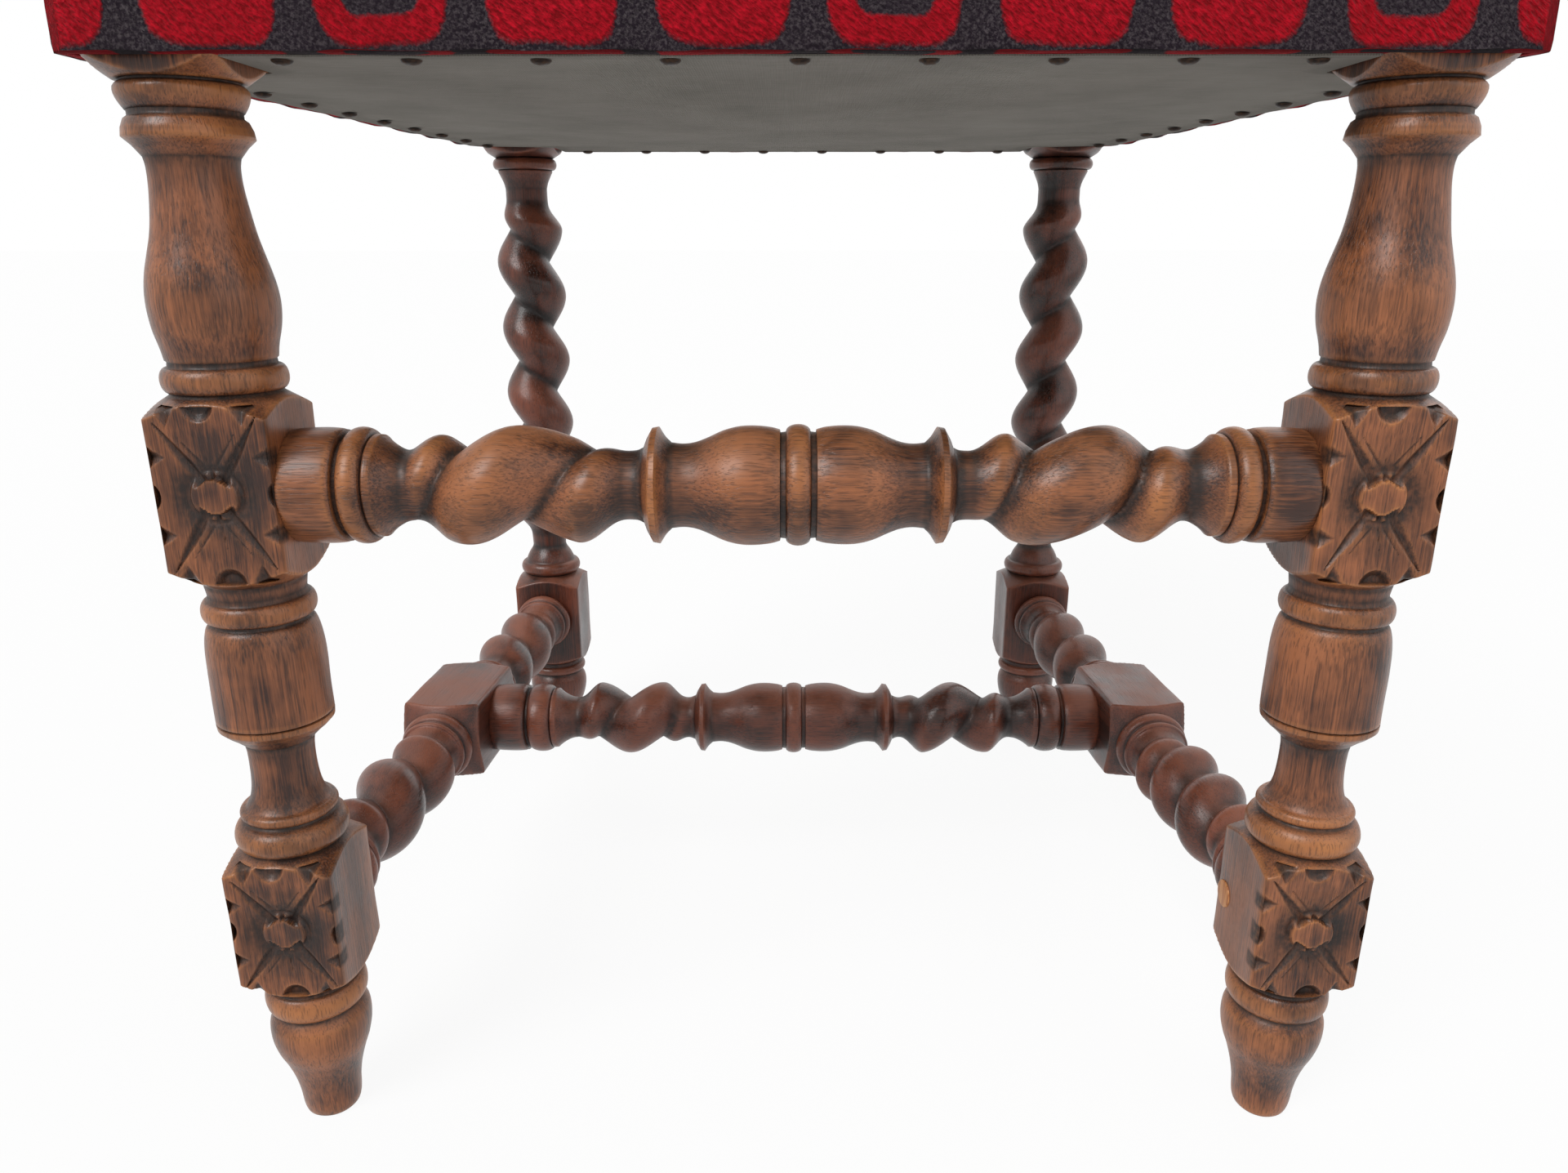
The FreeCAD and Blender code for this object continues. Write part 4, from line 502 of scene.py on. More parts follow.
class Rosette:
    """Chip-carved flower on the front face of a leg's square, in millimetres."""

    BOSS = 8.1

    def __init__(self, low, high, half, seed):
        self.middle = (low + high) / 2
        self.half_height = (high - low) / 2
        self.half = half
        self.jitter = np.random.default_rng(seed).uniform(-1, 1, 40)

    def groove(self, u, v, start, end, width, deep):
        """A straight V cut that is widest at its start and dies out at its end."""
        start, end = np.array(start), np.array(end)
        length = np.hypot(*(end - start))
        way = (end - start) / length
        along = (u - start[0]) * way[0] + (v - start[1]) * way[1]
        off = np.abs(-(u - start[0]) * way[1] + (v - start[1]) * way[0])
        share = np.clip(along / length, 0, 1)
        opening = width / 2 * (1 - share) ** 0.75 + 1e-6
        cut = deep * (1 - 0.6 * share) * np.clip(1 - off / opening, 0, 1) ** 0.8
        return np.where((along > -width / 3) & (along < length), cut, 0)

    def scoop(self, u, v, place, wide, tall, deep):
        """A round gouge cut that runs out at the edge of the face."""
        away = np.hypot((u - place[0]) / wide, (v - place[1]) / tall)
        return deep * np.clip((1 - away) / 0.42, 0, 1) ** 0.8

    def pattern(self, x, z):
        """Depth of the cuts at a place on the face."""
        j = self.jitter
        h, w = self.half_height, self.half
        v = z - self.middle - 0.5 * j[0]
        u = x - 0.4 * j[1]
        reach = np.hypot(u, v)
        ground = 2.1 * np.exp(-np.maximum(reach - self.BOSS - 1.6, 0) / 5.4)
        ground = ground * between(reach, self.BOSS - 0.3, self.BOSS + 1.5)
        petal = np.maximum(np.abs(u) / w, np.abs(v) / h)
        ground += 0.4 * np.clip(1 - np.abs(petal - 0.66) / 0.3, 0, 1) * (reach > self.BOSS + 1)
        cuts = [ground]
        for index, (across, up) in enumerate(((-1, 1), (1, 1), (-1, -1), (1, -1))):
            tip = np.array([across * w * 0.84, up * h * 0.86]) + j[2 + 2 * index:4 + 2 * index]
            way = tip / np.hypot(*tip)
            beside = np.array([-way[1], way[0]]) * across * up
            root = way * (self.BOSS + 0.6)
            cuts.append(self.groove(u, v, root, tip, 7.4, 3.0))
            cuts.append(self.groove(u, v, root + beside * 4.4, tip * 0.74 + beside * 3.6, 3.6, 2.0))
        for up, length in ((1, 9.0), (-1, 12.0)):
            root = np.array([0.2 * j[12], up * (self.BOSS - 0.4)])
            cuts.append(self.groove(u, v, root, root + [-1.6 * up, up * length], 3.8, 2.4))
        for place, wide, tall in (((0.9 * j[30] - 2, h + 1.4), 6.2, 7.4),
                                  ((0.9 * j[31] + 2, -h - 1.2), 6.4, 7.2),
                                  ((w + 1.0, 1.2 * j[32]), 4.2, 5.2),
                                  ((-w - 1.0, 1.2 * j[33]), 4.2, 5.2)):
            cuts.append(self.scoop(u, v, place, wide, tall, 2.5))
        for across in (-1, 1):
            for up in (-1, 1):
                inward = np.maximum(h - np.abs(v), 0)
                off = np.abs(u - across * (w * 0.62 + 0.7 * j[34 + up]))
                nick = np.clip(1 - off / 4.4 - inward / 8.0, 0, 1)
                cuts.append(np.where(v * up > 0, 3.2 * nick ** 0.75, 0))
                inward = np.maximum(w - np.abs(u), 0)
                off = np.abs(v - up * (h * 0.45 + 0.9 * j[36 + across]))
                nick = np.clip(1 - off / 4.4 - inward / 8.0, 0, 1)
                cuts.append(np.where(u * across > 0, 2.6 * nick ** 0.75, 0))
        return np.maximum.reduce(cuts)

    def inside(self, z):
        return (z > self.middle - self.half_height) & (z < self.middle + self.half_height)

    def depth(self, x, z, front):
        return np.where(front & self.inside(z), self.pattern(x, z), 0)

    def hollow_dark(self, x, z, sunk):
        """Darker colour in the deep cuts of the front face."""
        cut = self.pattern(x, z)
        on_face = self.inside(z) & (sunk > -0.5) & (sunk < 6)
        return np.where(on_face, np.clip((cut - 0.35) / 1.15, 0, 1), 0)


# Turned pieces of the frame

def stand(x, y, z=0.0):
    return axis_matrix((x, y, z), (0, 0, 1))


def lean_back(local):
    """Bend the rear leg backwards above the seat, where its back post begins."""
    x, y, z = local[..., 0], local[..., 1], local[..., 2]
    bend = RAKE_START / MM
    angle = RAKE_ANGLE * between(z, bend - 12, bend + 12)
    rise = z - bend
    return np.stack([x, y * np.cos(angle) + rise * np.sin(angle),
                     bend + rise * np.cos(angle) - y * np.sin(angle)], axis=2)


def front_leg(name, side):
    half = FRONT_SQUARE / 2 / MM
    seed = 11 if side < 0 else 12
    return billet("front_leg_%s_wood" % name, front_leg_rows(), half,
                  stand(side * FRONT_X, FRONT_Y), columns=(84, 20, 20, 20),
                  carvings=(Rosette(72.5, 132.5, half, seed), Rosette(252, 317, half, seed + 10)),
                  seed=seed)


def rear_leg(name, side):
    rows = rear_leg_rows()
    half_leg, half_post = REAR_SQUARE / 2 / MM, 21.0
    bend = RAKE_START / MM
    half = half_leg + (half_post - half_leg) * between(rows[:, 0], bend - 10, bend + 8)
    phase = 180.0 - 89.0 if side < 0 else 89.0
    twists = []
    for low, high, crest, valley, run in ((163.5, 397.6, 22.4, 12.0, 20),
                                          (bend + 38.5, bend + 91.5, 19.0, 10.4, 14),
                                          (bend + 182.5, bend + 393.5, 19.0, 10.4, 20)):
        valley_line = even_valley(low, high, 44.2, phase, side)
        twists.append(Twist(low, high, valley_line, crest, valley, run, run))
    return billet("rear_leg_%s_wood" % name, rows, half, stand(side * REAR_X, REAR_Y),
                  columns=(18, 18, 18, 18), twists=twists,
                  seed=21 if side < 0 else 22, bend=lean_back)


def front_stretcher():
    end = (FRONT_X - FRONT_SQUARE / 2) / MM + 1.0
    rows = bar_rows(1.0, end, 20.0, 9.0, 68.0)
    # each valley is listed point by point and isn't even: places along the stretcher, then degrees
    left = [(-150, 402), (-144, 347.6), (-124.2, 167.6), (-103.8, -12.4), (-74.9, -192.4),
            (-62, -330)]
    right = [(60, 430), (69.4, 347.6), (88.5, 167.6), (115.6, -12.4), (132.5, -192.4),
             (149, -330)]
    twists = (Twist(-147, -64, left, 22.5, 12.4, 16, 20, 0.5),
              Twist(64, 147, right, 22.5, 12.4, 18, 20, 0.5))
    matrix = axis_matrix((0, FRONT_Y, FRONT_STRETCHER_HEIGHT), (1, 0, 0), (0, 0, -1))
    return billet("front_stretcher_wood", rows, 40, matrix, columns=(24, 24, 24, 24),
                  twists=twists, seed=31)


def side_axis(side):
    front = Vector((side * FRONT_X, FRONT_Y, STRETCHER_HEIGHT))
    rear = Vector((side * REAR_X, REAR_Y, STRETCHER_HEIGHT))
    return front, rear


def cross_stretcher():
    front, rear = side_axis(1)
    reach = front.x + (rear.x - front.x) * (CROSS_Y - front.y) / (rear.y - front.y)
    end = (reach - MIDDLE_SQUARE / 2) / MM + 1.5
    rows = bar_rows(0.9, end, 20.0, 13.0, 62.0)
    inner, outer = 62.0, end - 20.0 - 1.6 - 13.0 - 3.5 - 11
    twists = (Twist(-outer, -inner, even_valley(-outer, -inner, 38, 322, -1), 20.6, 11.0, 14, 14),
              Twist(inner, outer, even_valley(inner, outer, 38, 142, -1), 20.6, 11.0, 14, 14))
    matrix = axis_matrix((0, CROSS_Y, STRETCHER_HEIGHT), (1, 0, 0), (0, 0, -1))
    return billet("cross_stretcher_wood", rows, 40, matrix, columns=(18, 18, 18, 18),
                  twists=twists, seed=32)


def side_stretcher(name, side):
    front, rear = side_axis(side)
    along = (rear - front).normalized()
    half = MIDDLE_SQUARE / 2 / MM
    length = (rear - front).length / MM
    leg_face = FRONT_SQUARE / 2 / MM - 1.2
    rear_face = length - REAR_SQUARE / 2 / MM + 1.2
    block = (CROSS_Y - front.y) / along.y / MM
    low, high = block - MIDDLE_LENGTH / 2, block + MIDDLE_LENGTH / 2
    rows = turning(
        line((leg_face, 17.0), (leg_face + 2.6, 17.0)),
        *arm_strokes(leg_face, low),
        square(low, high, 2.5, 17.0, step=2.5),
        *arm_strokes(high, rear_face),
        line((rear_face - 2.6, 17.0), (rear_face, 17.0)),
    )

    def arm_twist(start, end, phase, turns):
        inner, outer = start + 22.5, end - 22.5
        valley_line = even_valley(inner, outer, (outer - inner) / turns, phase, side)
        return Twist(inner, outer, valley_line, 20.4, 11.8, 13, 13, 0.55)
    front_phase, front_turns = (270, 2.2) if side < 0 else (60, 3.0)
    return billet("side_stretcher_%s_wood" % name, rows, half,
                  axis_matrix(front, along, (1, 0, 0)), columns=(18, 18, 18, 18),
                  twists=(arm_twist(leg_face, low, front_phase, front_turns),
                          arm_twist(high, rear_face, 90, 2.2)),
                  seed=33 if side < 0 else 34)


def repair_plug():
    low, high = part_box("repair_plug")
    place = (low + high) / 2
    select_none()
    bpy.ops.mesh.primitive_cylinder_add(vertices=40, radius=(high.z - low.z) / 2,
                                        depth=high.x - low.x + 0.0008,
                                        rotation=(0, math.pi / 2, 0),
                                        location=(place.x - 0.0002, place.y, place.z))
    plug = bpy.context.object
    bpy.ops.object.transform_apply(location=True, rotation=True, scale=True)
    bpy.ops.object.mode_set(mode="EDIT")
    bpy.ops.mesh.select_all(action="SELECT")
    bpy.ops.mesh.bevel(offset=0.0005, segments=2)
    bpy.ops.object.mode_set(mode="OBJECT")
    plug.name = "repair_plug_wood"
    smooth(plug)
    return plug


# Upholstery

def side_face(y):
    """How far the outer face of a side rail stands from the middle, at a place along it."""
    front_y = FRONT_Y + FRONT_SQUARE / 2
    rear_y = REAR_Y - REAR_SQUARE / 2
    front_x = FRONT_X + FRONT_SQUARE / 2
    rear_x = REAR_X + REAR_SQUARE / 2
    share = np.clip((y - front_y) / (rear_y - front_y), 0, 1)
    return front_x + (rear_x - front_x) * share


def block_out(name, low, high, cuts):
    """A box with evenly divided faces."""
    select_none()
    bpy.ops.mesh.primitive_cube_add(size=1, location=(Vector(low) + Vector(high)) / 2,
                                    scale=Vector(high) - Vector(low))
    bpy.ops.object.transform_apply(location=True, rotation=True, scale=True)
    piece = bpy.context.object
    piece.name = piece.data.name = name
    bpy.ops.object.mode_set(mode="EDIT")
    bpy.ops.mesh.select_all(action="SELECT")
    bpy.ops.mesh.subdivide(number_cuts=cuts)
    bpy.ops.object.mode_set(mode="OBJECT")
    return piece


def carve_out(piece, boxes):
    """Cut plain boxes out of a piece."""
    for low, high in boxes:
        tool = block_out("cutter", low, high, 1)
        only(piece)
        cut = piece.modifiers.new("cut", "BOOLEAN")
        cut.operation = "DIFFERENCE"
        cut.object = tool
        bpy.ops.object.modifier_apply(modifier=cut.name)
        bpy.data.objects.remove(tool)


def puff(piece, held, reach, pressure=4.0):
    """Fill a closed pad with a short cloth simulation; held vertices stay where they are."""
    start = coordinates(piece)
    group = piece.vertex_groups.new(name="held")
    group.add([int(i) for i in np.flatnonzero(held)], 1.0, "REPLACE")
    only(piece)
    cloth = piece.modifiers.new("stuffing", "CLOTH")
    cloth.settings.vertex_group_mass = group.name
    cloth.settings.use_pressure = True
    cloth.settings.uniform_pressure_force = pressure
    cloth.settings.tension_stiffness = 12
    cloth.settings.compression_stiffness = 12
    cloth.settings.bending_stiffness = 1.5
    cloth.settings.effector_weights.gravity = 0
    for step in range(1, 21):
        bpy.context.scene.frame_set(step)
    bpy.ops.object.modifier_apply(modifier=cloth.name)
    moved = coordinates(piece) - start
    length = np.linalg.norm(moved, axis=1, keepdims=True)
    capped = moved / np.maximum(length, 1e-9) * reach * np.tanh(length / reach)
    move_to(piece, start + capped)
    piece.vertex_groups.clear()
    bpy.context.scene.frame_set(1)


def remesh(piece, size):
    only(piece)
    voxels = piece.modifiers.new("even", "REMESH")
    voxels.mode = "VOXEL"
    voxels.voxel_size = size
    bpy.ops.object.modifier_apply(modifier=voxels.name)


def relax(piece, factor, repeat):
    only(piece)
    even = piece.modifiers.new("relax", "SMOOTH")
    even.factor = factor
    even.iterations = repeat
    bpy.ops.object.modifier_apply(modifier=even.name)


def delete_faces(piece, doomed):
    only(piece)
    for polygon in piece.data.polygons:
        polygon.select = bool(doomed(polygon.center, polygon.normal))
    bpy.ops.object.mode_set(mode="EDIT")
    bpy.ops.mesh.select_mode(type="FACE")
    bpy.ops.mesh.delete(type="FACE")
    bpy.ops.object.mode_set(mode="OBJECT")


def thicken(piece, thickness):
    only(piece)
    wall = piece.modifiers.new("wall", "SOLIDIFY")
    wall.thickness = thickness
    wall.offset = -1
    bpy.ops.object.modifier_apply(modifier=wall.name)


SEAT_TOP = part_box("seat_cover")[1].z
SEAT_RISE = 0.003
SEAT_FALL = 0.007
CLOTH = 0.0018
LIP = 0.0012
SEAT_MARGIN = 0.0062
FOLD_DROP = 0.0006
FOLD_SPARE = 0.008
CLOTH_RIM = 0.016
LINING_INSET = 0.0008


def seat_crown(x, y):
    """Height of the seat: a low dome that falls away towards its edges."""
    across = x / side_face(y)
    along = (y - (FRONT_Y + REAR_Y) / 2) / ((REAR_Y - FRONT_Y) / 2 + FRONT_SQUARE / 2)
    dome = (1 - np.abs(across) ** 2.6) * (1 - np.abs(along) ** 2.6)
    return SEAT_TOP + SEAT_RISE - SEAT_FALL * (1 - np.clip(dome, 0, 1) ** 0.7)


def seat_cloth():
    """The seat's cover, drawn over the stuffing and turned under the rails."""
    low_z = RAIL_LOW - FOLD_DROP
    front = FRONT_Y - FRONT_SQUARE / 2 - SEAT_MARGIN
    back = REAR_Y + REAR_SQUARE / 2 + 0.0030
    bottom = low_z - FOLD_SPARE
    seat = block_out("seat_cloth", (-0.5, front, bottom), (0.5, back, SEAT_TOP), 23)
    place = coordinates(seat)
    x, y, z = place.T
    up = (z - bottom) / (SEAT_TOP - bottom)
    new_x = x * 2 * (side_face(y) + SEAT_MARGIN)
    crown = seat_crown(new_x, y)
    move_to(seat, np.stack([new_x, y, bottom + (crown - bottom) * up], axis=1))
    only(seat)
    soft = seat.modifiers.new("edges", "BEVEL")
    soft.width = 0.012
    soft.segments = 4
    soft.limit_method = "ANGLE"
    soft.angle_limit = math.radians(50)
    bpy.ops.object.modifier_apply(modifier=soft.name)
    gap = 0.0003
    posts = []
    for side in SIDES.values():
        inner = side * (REAR_X - REAR_SQUARE / 2 - gap)
        posts.append(((min(inner, side * 0.4), REAR_Y - REAR_SQUARE / 2 - gap, low_z - 0.1),
                      (max(inner, side * 0.4), back + 0.1, SEAT_TOP + 0.1)))
    carve_out(seat, posts)
    remesh(seat, 0.005)
    relax(seat, 0.5, 4)
    place = coordinates(seat)
    place[:, 2] = np.maximum(place[:, 2], low_z)
    move_to(seat, place)
    near_post = ((np.abs(place[:, 0]) > REAR_X - REAR_SQUARE / 2 - 0.006)
                 & (place[:, 1] > REAR_Y - REAR_SQUARE / 2 - 0.006))
    puff(seat, (place[:, 2] < RAIL_LOW + 0.012) | near_post, 0.0045)
    draw_in(seat)
    inner_y = front + SEAT_MARGIN + LIP
    inner_back = back - 0.006

    def opening(centre, normal):
        inside = (abs(centre.x) < float(side_face(np.array(centre.y))) - LIP
                  and inner_y < centre.y < inner_back)
        at_leg = (abs(abs(centre.x) - FRONT_X) < FRONT_SQUARE / 2 - 0.001
                  and abs(centre.y - FRONT_Y) < FRONT_SQUARE / 2 - 0.001)
        at_post = (abs(centre.x) > REAR_X - REAR_SQUARE / 2 - 0.006
                   and centre.y > REAR_Y - REAR_SQUARE / 2 - 0.006)
        return normal.z < -0.7 and centre.z < RAIL_LOW + 0.01 and (inside or at_leg or at_post)
    delete_faces(seat, opening)
    lay_cloth(seat, SEAT_TOP - CLOTH_RIM, (0, 0, 1))
    thicken(seat, CLOTH * 0.8)
    smooth(seat, 60)
    return seat


def draw_in(seat):
    """Small scallops where the tacks under the rails draw the cloth in."""
    place = coordinates(seat)
    way = normals(seat)
    low = np.exp(-np.maximum(place[:, 2] - RAIL_LOW, 0) / 0.010)
    around = np.where(np.abs(way[:, 1]) > np.abs(way[:, 0]), place[:, 0], place[:, 1])
    pleat = np.cos(around / 0.040 * 2 * math.pi) + 0.5 * np.sin(around / 0.023 * 2 * math.pi)
    crumple = np.sin(place[:, 0] * 71 + 3 * np.sin(place[:, 1] * 29)) * np.cos(place[:, 1] * 57)
    amount = 0.0004 * pleat * low + 0.0004 * crumple
    move_to(seat, place + way * amount[:, None])


def lay_cloth(piece, rim, up, order=(0, 1, 2)):
    """Store where each point lies on the flat cloth before it was drawn over the edge.

    The fourth power turns the way down to the nearest side, so that wrinkles don't skew it.
    """
    place = coordinates(piece)
    way = normals(piece)
    up = np.array(up)
    height = place @ up
    flat = way - np.outer(way @ up, up)
    size = np.linalg.norm(flat, axis=1, keepdims=True)
    flat = np.sign(flat) * np.abs(flat) ** 4
    flat = flat / np.maximum(np.linalg.norm(flat, axis=1, keepdims=True), 1e-9)
    drop = np.clip(rim - height, 0, 1)[:, None] * np.clip(size * 1.6, 0, 1)
    laid = place + flat * drop - np.outer(height, up)
    store(piece, "cloth", laid[:, order])


def tack_places(node):
    """Middle of each loose part of a CAD node."""
    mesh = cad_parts[node].data
    place = np.array([v.co for v in mesh.vertices])
    key = {}
    link = list(range(len(place)))

    def root(i):
        while link[i] != i:
            link[i] = link[link[i]]
            i = link[i]
        return i
    for i, p in enumerate(np.rint(place * 1e6).astype(int)):
        link[i] = root(key.setdefault(tuple(p), i))
    for polygon in mesh.polygons:
        first = root(polygon.vertices[0])
        for vertex in polygon.vertices[1:]:
            link[root(vertex)] = first
    groups = {}
    for i in range(len(place)):
        groups.setdefault(root(i), []).append(i)
    return [(place[g].min(0) + place[g].max(0)) / 2 for g in groups.values()]


TACK_RADIUS = 0.0036
TACK_RISE = 0.0016


def tack_heads(name, spots, radius, rise, matrix):
    """Domed tack heads, all alike, each turned by the matrix so that its dome points out."""
    heads = []
    for spot in spots:
        select_none()
        bpy.ops.mesh.primitive_uv_sphere_add(segments=18, ring_count=10, radius=radius)
        head = bpy.context.object
        bpy.ops.object.mode_set(mode="EDIT")
        bpy.ops.mesh.select_all(action="SELECT")
        bpy.ops.mesh.bisect(plane_co=(0, 0, 0), plane_no=(0, 0, 1), use_fill=True,
                            clear_inner=True)
        bpy.ops.object.mode_set(mode="OBJECT")
        head.data.transform(Matrix.Diagonal((1, 1, rise / radius, 1)))
        head.data.transform(matrix)
        head.data.transform(Matrix.Translation(spot))
        heads.append(head)
    select_none()
    for head in heads:
        head.select_set(True)
    bpy.context.view_layer.objects.active = heads[0]
    bpy.ops.object.join()
    piece = bpy.context.object
    piece.name = piece.data.name = name
    smooth(piece, 40)
    return piece


def half_width(y):
    """Half the width of the cloth under the seat, cut in at the legs."""
    leg_back = FRONT_Y + FRONT_SQUARE / 2
    post_front = REAR_Y - REAR_SQUARE / 2
    narrow_front = FRONT_X - FRONT_SQUARE / 2 - 0.002
    narrow_rear = REAR_X - REAR_SQUARE / 2 - 0.002
    full = side_face(y) - LINING_INSET
    share = between(y, leg_back - 0.004, leg_back + 0.012)
    share_rear = between(y, post_front - 0.014, post_front - 0.001)
    width = narrow_front + (full - narrow_front) * share
    return width + (narrow_rear - width) * share_rear


def under_cloth():
    """Plain cloth tacked under the rails, with a turned hem, hanging a little in the middle."""
    front = FRONT_Y - FRONT_SQUARE / 2 + LINING_INSET
    back = REAR_Y + REAR_SQUARE / 2 - 0.0065
    select_none()
    bpy.ops.mesh.primitive_grid_add(x_subdivisions=120, y_subdivisions=110, size=1)
    sheet = bpy.context.object
    sheet.name = sheet.data.name = "under_cloth"
    place = coordinates(sheet)
    y = front + (place[:, 1] + 0.5) * (back - front)
    width = half_width(y)
    x = place[:, 0] * 2 * width
    flat = np.stack([x, y, 0 * x], axis=1)
    edge = np.minimum.reduce([width - np.abs(x), y - front, back - y])
    hem = 1 - between(edge, 0.007, 0.0095)
    sag = 0.0028 * between(edge, 0.02, 0.16)
    z = RAIL_LOW - 0.0004 - 0.0005 * hem - sag
    pull = np.zeros_like(x)
    for spot in tack_places("dust_cloth_tacks"):
        away = np.hypot(x - spot[0], y - spot[1])
        pull += np.exp(-(away / 0.007) ** 2)
    ripple = np.sin(x * 310) * np.exp(-np.minimum(y - front, back - y) / 0.018)
    ripple += np.sin(y * 290) * np.exp(-(width - np.abs(x)) / 0.016)
    z = z - 0.0005 * ripple * between(edge, 0.008, 0.016) + 0.0004 * pull
    near_back = 1 - between(back - y, 0.0, 0.01)
    near_front = 1 - between(y - front, 0.0, 0.01)
    wave = 0.0014 * np.cos(x / 0.040 * 2 * math.pi)
    y = y - wave * near_back + 0.5 * wave * near_front
    move_to(sheet, np.stack([x, y, z], axis=1))
    store(sheet, "cloth", flat)
    store(sheet, "hem", hem)
    thicken(sheet, 0.0006)
    only(sheet)
    bpy.ops.object.mode_set(mode="EDIT")
    bpy.ops.mesh.select_all(action="SELECT")
    bpy.ops.mesh.normals_make_consistent(inside=False)
    bpy.ops.object.mode_set(mode="OBJECT")
    smooth(sheet, 50)
    return sheet


# The back, worked in its own leaning frame: X across, Y backwards, Z up the posts

BACK = (Matrix.Translation((0, REAR_Y, RAKE_START)) @ Matrix.Rotation(-RAKE_ANGLE, 4, "X"))
POST_SQUARE = 0.042
BACK_HALF = REAR_X - POST_SQUARE / 2 - 0.001
BACK_SIDE = BACK_HALF + 0.0007
BACK_LOW = 0.137 - 0.022
BACK_HIGH = 0.439 + 0.022
BACK_FACE = 0.010
BACK_RISE = 0.003
BACK_FALL = 0.006
BACK_FRONT = -(BACK_FACE + 0.0012 + 0.001 + 0.020 + 0.0021)


def back_cloth():
    """Front cover of the back, a crowned pad between the posts."""
    pad = block_out("back_cloth", (-BACK_SIDE, BACK_FRONT, BACK_LOW - 0.0015),
                    (BACK_SIDE, BACK_FACE + FOLD_SPARE, BACK_HIGH + 0.0015), 15)
    place = coordinates(pad)
    x, y, z = place.T
    across = x / BACK_SIDE
    along = (z - (BACK_LOW + BACK_HIGH) / 2) / ((BACK_HIGH - BACK_LOW) / 2)
    dome = (1 - np.abs(across) ** 2.4) * (1 - np.abs(along) ** 2.4)
    forward = (BACK_FACE - y) / (BACK_FACE - BACK_FRONT)
    fall = BACK_FALL * (1 - np.clip(dome, 0, 1) ** 0.7) - BACK_RISE
    move_to(pad, np.stack([x, y + fall * forward, z], axis=1))
    only(pad)
    soft = pad.modifiers.new("edges", "BEVEL")
    soft.width = 0.009
    soft.segments = 4
    soft.limit_method = "ANGLE"
    soft.angle_limit = math.radians(50)
    bpy.ops.object.modifier_apply(modifier=soft.name)
    remesh(pad, 0.005)
    relax(pad, 0.5, 3)
    place = coordinates(pad)
    place[:, 1] = np.minimum(place[:, 1], BACK_FACE)
    move_to(pad, place)
    at_edge = ((np.abs(place[:, 0]) > BACK_HALF - 0.004) | (place[:, 1] > -0.006))
    puff(pad, at_edge, 0.004, 5.0)
    delete_faces(pad, lambda centre, normal: normal.y > 0.7 and centre.y > 0.004
                 and abs(centre.x) < BACK_HALF - 0.004
                 and BACK_LOW + 0.004 < centre.z < BACK_HIGH - 0.004)
    lay_cloth(pad, -BACK_FRONT - 0.012, (0, -1, 0), (0, 2, 1))
    thicken(pad, CLOTH * 0.8)
    pad.data.transform(BACK)
    smooth(pad, 60)
    return pad


def outside_cloth():
    """Flat cloth over the outside of the back, with a turned hem."""
    select_none()
    bpy.ops.mesh.primitive_grid_add(x_subdivisions=80, y_subdivisions=96, size=1)
    sheet = bpy.context.object
    sheet.name = sheet.data.name = "outside_cloth"
    place = coordinates(sheet)
    width, height = 2 * (BACK_HALF - 0.0006), BACK_HIGH - BACK_LOW - 0.001
    x = place[:, 0] * width
    z = (BACK_LOW + BACK_HIGH) / 2 + place[:, 1] * height
    edge = np.minimum(width / 2 - np.abs(x), height / 2 - np.abs(place[:, 1] * height))
    hem = 1 - between(edge, 0.008, 0.0105)
    y = BACK_FACE + 0.0006 + 0.0005 * hem - 0.0012 * between(edge, 0.02, 0.09)
    for spot in back_tack_spots():
        away = np.hypot(x - spot[0], z - spot[2])
        y = y - 0.0004 * np.exp(-(away / 0.006) ** 2)
    flat = np.stack([x, z, 0 * x], axis=1)
    move_to(sheet, np.stack([x, y, z], axis=1))
    store(sheet, "cloth", flat)
    store(sheet, "hem", hem)
    sheet.data.transform(BACK)
    thicken(sheet, 0.0006)
    only(sheet)
    bpy.ops.object.mode_set(mode="EDIT")
    bpy.ops.mesh.select_all(action="SELECT")
    bpy.ops.mesh.normals_make_consistent(inside=False)
    bpy.ops.object.mode_set(mode="OBJECT")
    smooth(sheet, 50)
    return sheet


def back_tack_spots():
    """Tacks of the outside cloth, in the back's own frame."""
    inverse = BACK.inverted()
    return [inverse @ Vector(spot) for spot in tack_places("back_cloth_tacks")]


# Materials

def paint(code):
    """A colour written as sRGB hex, as the linear colour that a shader takes."""
    channels = [int(code[i:i + 2], 16) / 255 for i in (1, 3, 5)]
    linear = [c / 12.92 if c <= 0.04045 else ((c + 0.055) / 1.055) ** 2.4 for c in channels]
    return (*linear, 1.0)


def new_material(name):
    material = bpy.data.materials.new(name)
    material.use_nodes = True
    material.node_tree.nodes.clear()
    return material


def add(m, kind, links=None, out=0, **settings):
    """Add a node with its settings; its inputs take values or other nodes' outputs."""
    tree = m.node_tree
    item = tree.nodes.new("ShaderNode" + kind)
    for key, value in settings.items():
        setattr(item, key, value)
    for key, value in (links or {}).items():
        if isinstance(value, bpy.types.NodeSocket):
            tree.links.new(value, item.inputs[key])
        else:
            item.inputs[key].default_value = value
    return item.outputs if out is None else item.outputs[out]


# Real sizes of the patterns, in metres
PORE_WIDTH = 0.0006
PORE_LENGTH = 0.009
FIBRE_WIDTH = 0.0008
FIBRE_LENGTH = 0.045
BOARD_FIGURE = 0.012
PATINA = 0.045


